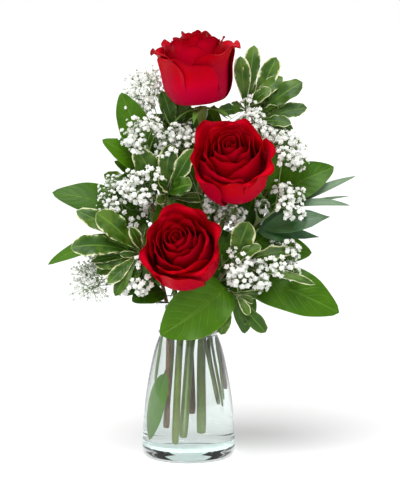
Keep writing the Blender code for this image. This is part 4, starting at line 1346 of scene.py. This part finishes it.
def floret_shape():
    """A small double flower as a ruffled, closed cup: points, faces, tones, about a unit radius, looking up."""
    rings = [
        (5, 0.22, -0.75, 0.0, 0.0),
        (10, 0.50, -0.28, 0.0, 0.2),
        (10, 1.00, 0.12, 0.30, 1.0),
        (10, 0.62, 0.22, -0.2, 0.8),
        (10, 0.66, 0.62, 0.28, 1.0),
        (5, 0.26, 0.42, 0.0, 0.7),
    ]
    deselect_all()
    bpy.ops.mesh.primitive_circle_add(vertices=10, radius=1.0)
    ring = bpy.context.object
    turns = sorted(math.atan2(vert.co.y, vert.co.x) for vert in ring.data.vertices)
    bpy.data.objects.remove(ring)
    points, tones, faces, rows = [(0, 0, -0.8)], [0.0], [], []
    for number, radius, height, ruffle, tone in rings:
        row = []
        for step in range(0, 10, 10 // number):
            angle = turns[step]
            swing = ruffle if step % 2 else -ruffle
            reach = radius * (1 + 0.35 * swing)
            row.append(len(points))
            points.append((reach * math.cos(angle), reach * math.sin(angle), height + swing * radius))
            tones.append(tone)
        rows.append(row)
    points.append((0, 0, 0.5))
    tones.append(0.75)
    for first, second in zip(rows, rows[1:]):
        for step in range(10):
            a, b = first[step * len(first) // 10], first[(step + 1) % 10 * len(first) // 10]
            c, d = second[(step + 1) % 10 * len(second) // 10], second[step * len(second) // 10]
            face = list(dict.fromkeys((a, b, c, d)))
            if len(face) > 2:
                faces.append(tuple(face))
    for row, pole, flip in ((rows[0], 0, True), (rows[-1], len(points) - 1, False)):
        for step in range(len(row)):
            face = (row[step], row[(step + 1) % len(row)], pole)
            faces.append(face[::-1] if flip else face)
    return np.array(points, float), faces, np.array(tones)


def looking(direction, spin):
    """A turn that brings +Z to a direction."""
    turn_to = Vector(direction).to_track_quat("Z", "Y").to_matrix()
    return np.array(turn_to @ Matrix.Rotation(spin, 3, "Z"))


# The middles of more small sprays, in millimetres, each on a thread from the nearest spray of its sprig
SPRAYS = {
    "babys_breath_left": (
        (-62, -4, 262), (-48, 2, 248), (-76, 2, 250), (-58, -6, 236), (-40, -2, 262), (-34, 6, 284),
        (-84, -2, 196), (-64, -16, 176), (-52, -22, 190), (-98, 4, 186), (-88, 0, 172), (-44, -26, 176),
    ),
    "babys_breath_middle": (
        (-40, 18, 352), (-32, 22, 366), (34, -8, 247), (22, -6, 252), (46, -4, 240), (-8, 12, 318), (62, 10, 352),
    ),
    "babys_breath_right": (
        (74, 4, 254), (66, -4, 196), (44, -22, 182),
    ),
}


class Spray:
    """Where a small spray of florets starts, bends and sits."""

    def __init__(self, start, first, centre):
        self.start, self.first, self.centre = (np.array(point, float) for point in (start, first, centre))
        self.outward = (self.centre - self.start) / np.linalg.norm(self.centre - self.start)


def sprays_of(node, petals):
    """The sprays that a sprig's node has, and the added ones that a thread reaches without passing through a petal."""
    bm = joined_copy(node)
    found = [
        Spray(middle_of(rings[4]), middle_of(rings[3]), middle_of(rings[1])) for rings, _ in growths(bm, FLOWER_ROWS)
    ]
    bm.free()
    added = []
    for place in SPRAYS.get(node, ()):
        centre = np.array(place) * MM

        def reach(spray):
            return pierced(petals, spray.first, centre), np.linalg.norm(spray.first - centre)

        near = min(found, key=reach)
        if not reach(near)[0]:
            sag = np.array((0, 0, 3 * MM))
            added.append(Spray(near.first, (near.first + centre) / 2 - sag, centre))
    return found + added


class BouquetBabyBreath(bpy.types.Operator):
    """Scatters the florets of the baby's breath on fine threads"""

    bl_idname = "bouquet.babys_breath"
    bl_label = "Baby's breath"

    def execute(self, context):
        look = context.scene.bouquet_babys_breath
        white = floret_paint("floret", look.white, look.calyx)
        thread = stem_paint("thread", look.calyx, (0.27, 0.36, 0.16), (200, 200, 80), 0.6, 0.1)
        shape, shape_faces, shape_tones = floret_shape()
        heads = [Head(rose) for rose in ROSES]
        obstacles = [petal_tree(), tree_of(pieces_named("_leaves", "_blade", "_sepals"))]
        for node in nodes_named("babys_breath"):
            chance = random.Random(len(node))
            flowers, threads = Sheets(), Sheets()
            for spray in sprays_of(node, obstacles[0]):
                centre, outward = spray.centre, spray.outward
                stalk = [spray.start, spray.first, centre - outward * 3 * MM]
                add_tube(threads, stalk, SPRAY_THREAD, 4)
                airy = centre[0] < AIRY_LEFT or centre[2] > AIRY_TOP
                count_by, spread_by, size_by = AIRY if airy else CLOSE
                count = round(look.florets * count_by)
                for index in range(count):
                    lean = math.acos(1 - 1.6 * (index + 0.5) / count)
                    around = index * FLORET_TURN + chance.uniform(-0.5, 0.5)
                    way = looking(outward, 0.0) @ np.array(
                        (math.sin(lean) * math.cos(around), math.sin(lean) * math.sin(around), math.cos(lean))
                    )
                    place = centre + way * (look.spread * spread_by) * chance.uniform(0.4, 1.0)
                    face_way = way * 0.8 + outward * 0.3 + np.array((0, -0.35, 0.35))
                    size = look.floret * chance.choice(FLORET_SIZES) * size_by
                    turned = looking(face_way, chance.uniform(0, math.tau))
                    squat = chance.uniform(0.7, 1.05)
                    joint = centre - outward * chance.uniform(3, 7) * MM
                    near = [tree.find_nearest(Vector(place), FLORET_ROOM * size)[0] for tree in obstacles if tree]
                    if in_bloom(heads, [place, joint], FLORET_MARGIN) or any(point is not None for point in near):
                        continue
                    points = place + (shape * size * np.array((1, 1, squat))) @ turned.T
                    tone = shape_tones * (0.65 if size < look.floret * 0.55 and not airy else 1.0)
                    flowers.add(points, shape_faces, np.zeros((len(points), 2)), tone)
                    below = place - turned[:, 2] * size * 0.7
                    middle = (joint + below) / 2 - turned[:, 2] * 1.5 * MM
                    add_tube(threads, [joint, middle, below], FLORET_THREAD, 3)
            finish_piece(flowers.to_object(f"{node}_florets"), [node], [white], smooth=False)
            stem = bare_stem(node, FLOWER_ROWS)
            fine = threads.to_object(f"{node}_threads")
            for part in (stem, fine):
                part.data.materials.append(thread)
            finish_piece(joined(f"{node}_stems", [stem, fine]))
        return {"FINISHED"}


# Stage


def studio_world(strength):
    """Even light from all round, which looks plain white from the camera."""
    world = bpy.data.worlds.new("studio")
    world.use_nodes = True
    nodes, links = world.node_tree.nodes, world.node_tree.links
    lit, seen = nodes["Background"], nodes.new("ShaderNodeBackground")
    for background in (lit, seen):
        background.inputs["Color"].default_value = (1, 1, 1, 1)
    lit.inputs["Strength"].default_value = strength
    sight, mixed = nodes.new("ShaderNodeLightPath"), nodes.new("ShaderNodeMixShader")
    feeds = (sight.outputs["Is Camera Ray"], lit.outputs[0], seen.outputs[0])
    for index, feed in enumerate(feeds):
        links.new(feed, mixed.inputs[index])
    links.new(mixed.outputs[0], nodes["World Output"].inputs["Surface"])
    return world


class BouquetStage(bpy.types.Operator):
    """Sets the floor, the soft lights and the camera"""

    bl_idname = "bouquet.stage"
    bl_label = "Stage"

    def execute(self, context):
        look = context.scene.bouquet_stage
        scene = context.scene
        deselect_all()
        bpy.ops.mesh.primitive_plane_add(size=FLOOR_SIZE, location=(0, 0, -FLOOR_DROP))
        floor = context.object
        floor.name = "floor"
        floor.data.materials.append(Paint("floor", look.floor, Roughness=0.9, Specular_IOR_Level=0.1).material)
        scene.world = studio_world(look.air)
        bpy.ops.object.light_add(type="SUN", location=KEY_PLACE)
        key = context.object
        key.name = "key"
        key.data.energy = look.sun
        key.data.angle = look.spread
        key.rotation_euler = (CAMERA_AIM - key.location).to_track_quat("-Z", "Y").to_euler()
        away = Vector((0, -math.cos(look.elevation), math.sin(look.elevation)))
        bpy.ops.object.camera_add(location=CAMERA_AIM + away * look.distance)
        camera = context.object
        camera.rotation_euler = (-away).to_track_quat("-Z", "Y").to_euler()
        camera.data.lens = CAMERA_LENS
        camera.data.sensor_width = CAMERA_SENSOR
        scene.camera = camera
        scene.view_settings.view_transform = "Standard"
        deselect_all()
        return {"FINISHED"}


class BOUQUET_PT_panel(bpy.types.Panel):
    """The bouquet's steps and settings"""

    bl_idname = "BOUQUET_PT_panel"
    bl_label = "Rose bouquet"
    bl_space_type = "VIEW_3D"
    bl_region_type = "UI"
    bl_category = "Bouquet"

    def draw(self, context):
        for operator, group in STEPS:
            box = self.layout.box()
            box.operator(operator.bl_idname, text=operator.bl_label)
            if group:
                for name in getattr(context.scene, group).__annotations__:
                    box.prop(getattr(context.scene, group), name)


GROUPS = {
    "bouquet_vase": BouquetVaseSettings,
    "bouquet_roses": BouquetRoseSettings,
    "bouquet_greens": BouquetGreenSettings,
    "bouquet_babys_breath": BouquetBabyBreathSettings,
    "bouquet_stage": BouquetStageSettings,
}
STEPS = (
    (BouquetVase, "bouquet_vase"),
    (BouquetRoses, "bouquet_roses"),
    (BouquetRoseStems, None),
    (BouquetSalal, "bouquet_greens"),
    (BouquetSprigs, None),
    (BouquetBabyBreath, "bouquet_babys_breath"),
    (BouquetStage, "bouquet_stage"),
)


def register():
    for name, group in GROUPS.items():
        bpy.utils.register_class(group)
        setattr(bpy.types.Scene, name, PointerProperty(type=group))
    for operator, _ in STEPS:
        bpy.utils.register_class(operator)
    bpy.utils.register_class(BOUQUET_PT_panel)


def unregister():
    bpy.utils.unregister_class(BOUQUET_PT_panel)
    for operator, _ in reversed(STEPS):
        bpy.utils.unregister_class(operator)
    for name, group in reversed(GROUPS.items()):
        delattr(bpy.types.Scene, name)
        bpy.utils.unregister_class(group)


def main():
    register()
    bpy.ops.bouquet.vase()
    bpy.ops.bouquet.roses()
    bpy.ops.bouquet.rose_stems()
    bpy.ops.bouquet.salal()
    bpy.ops.bouquet.sprigs()
    bpy.ops.bouquet.babys_breath()
    bpy.ops.bouquet.stage()


if __name__ == "__main__":
    main()
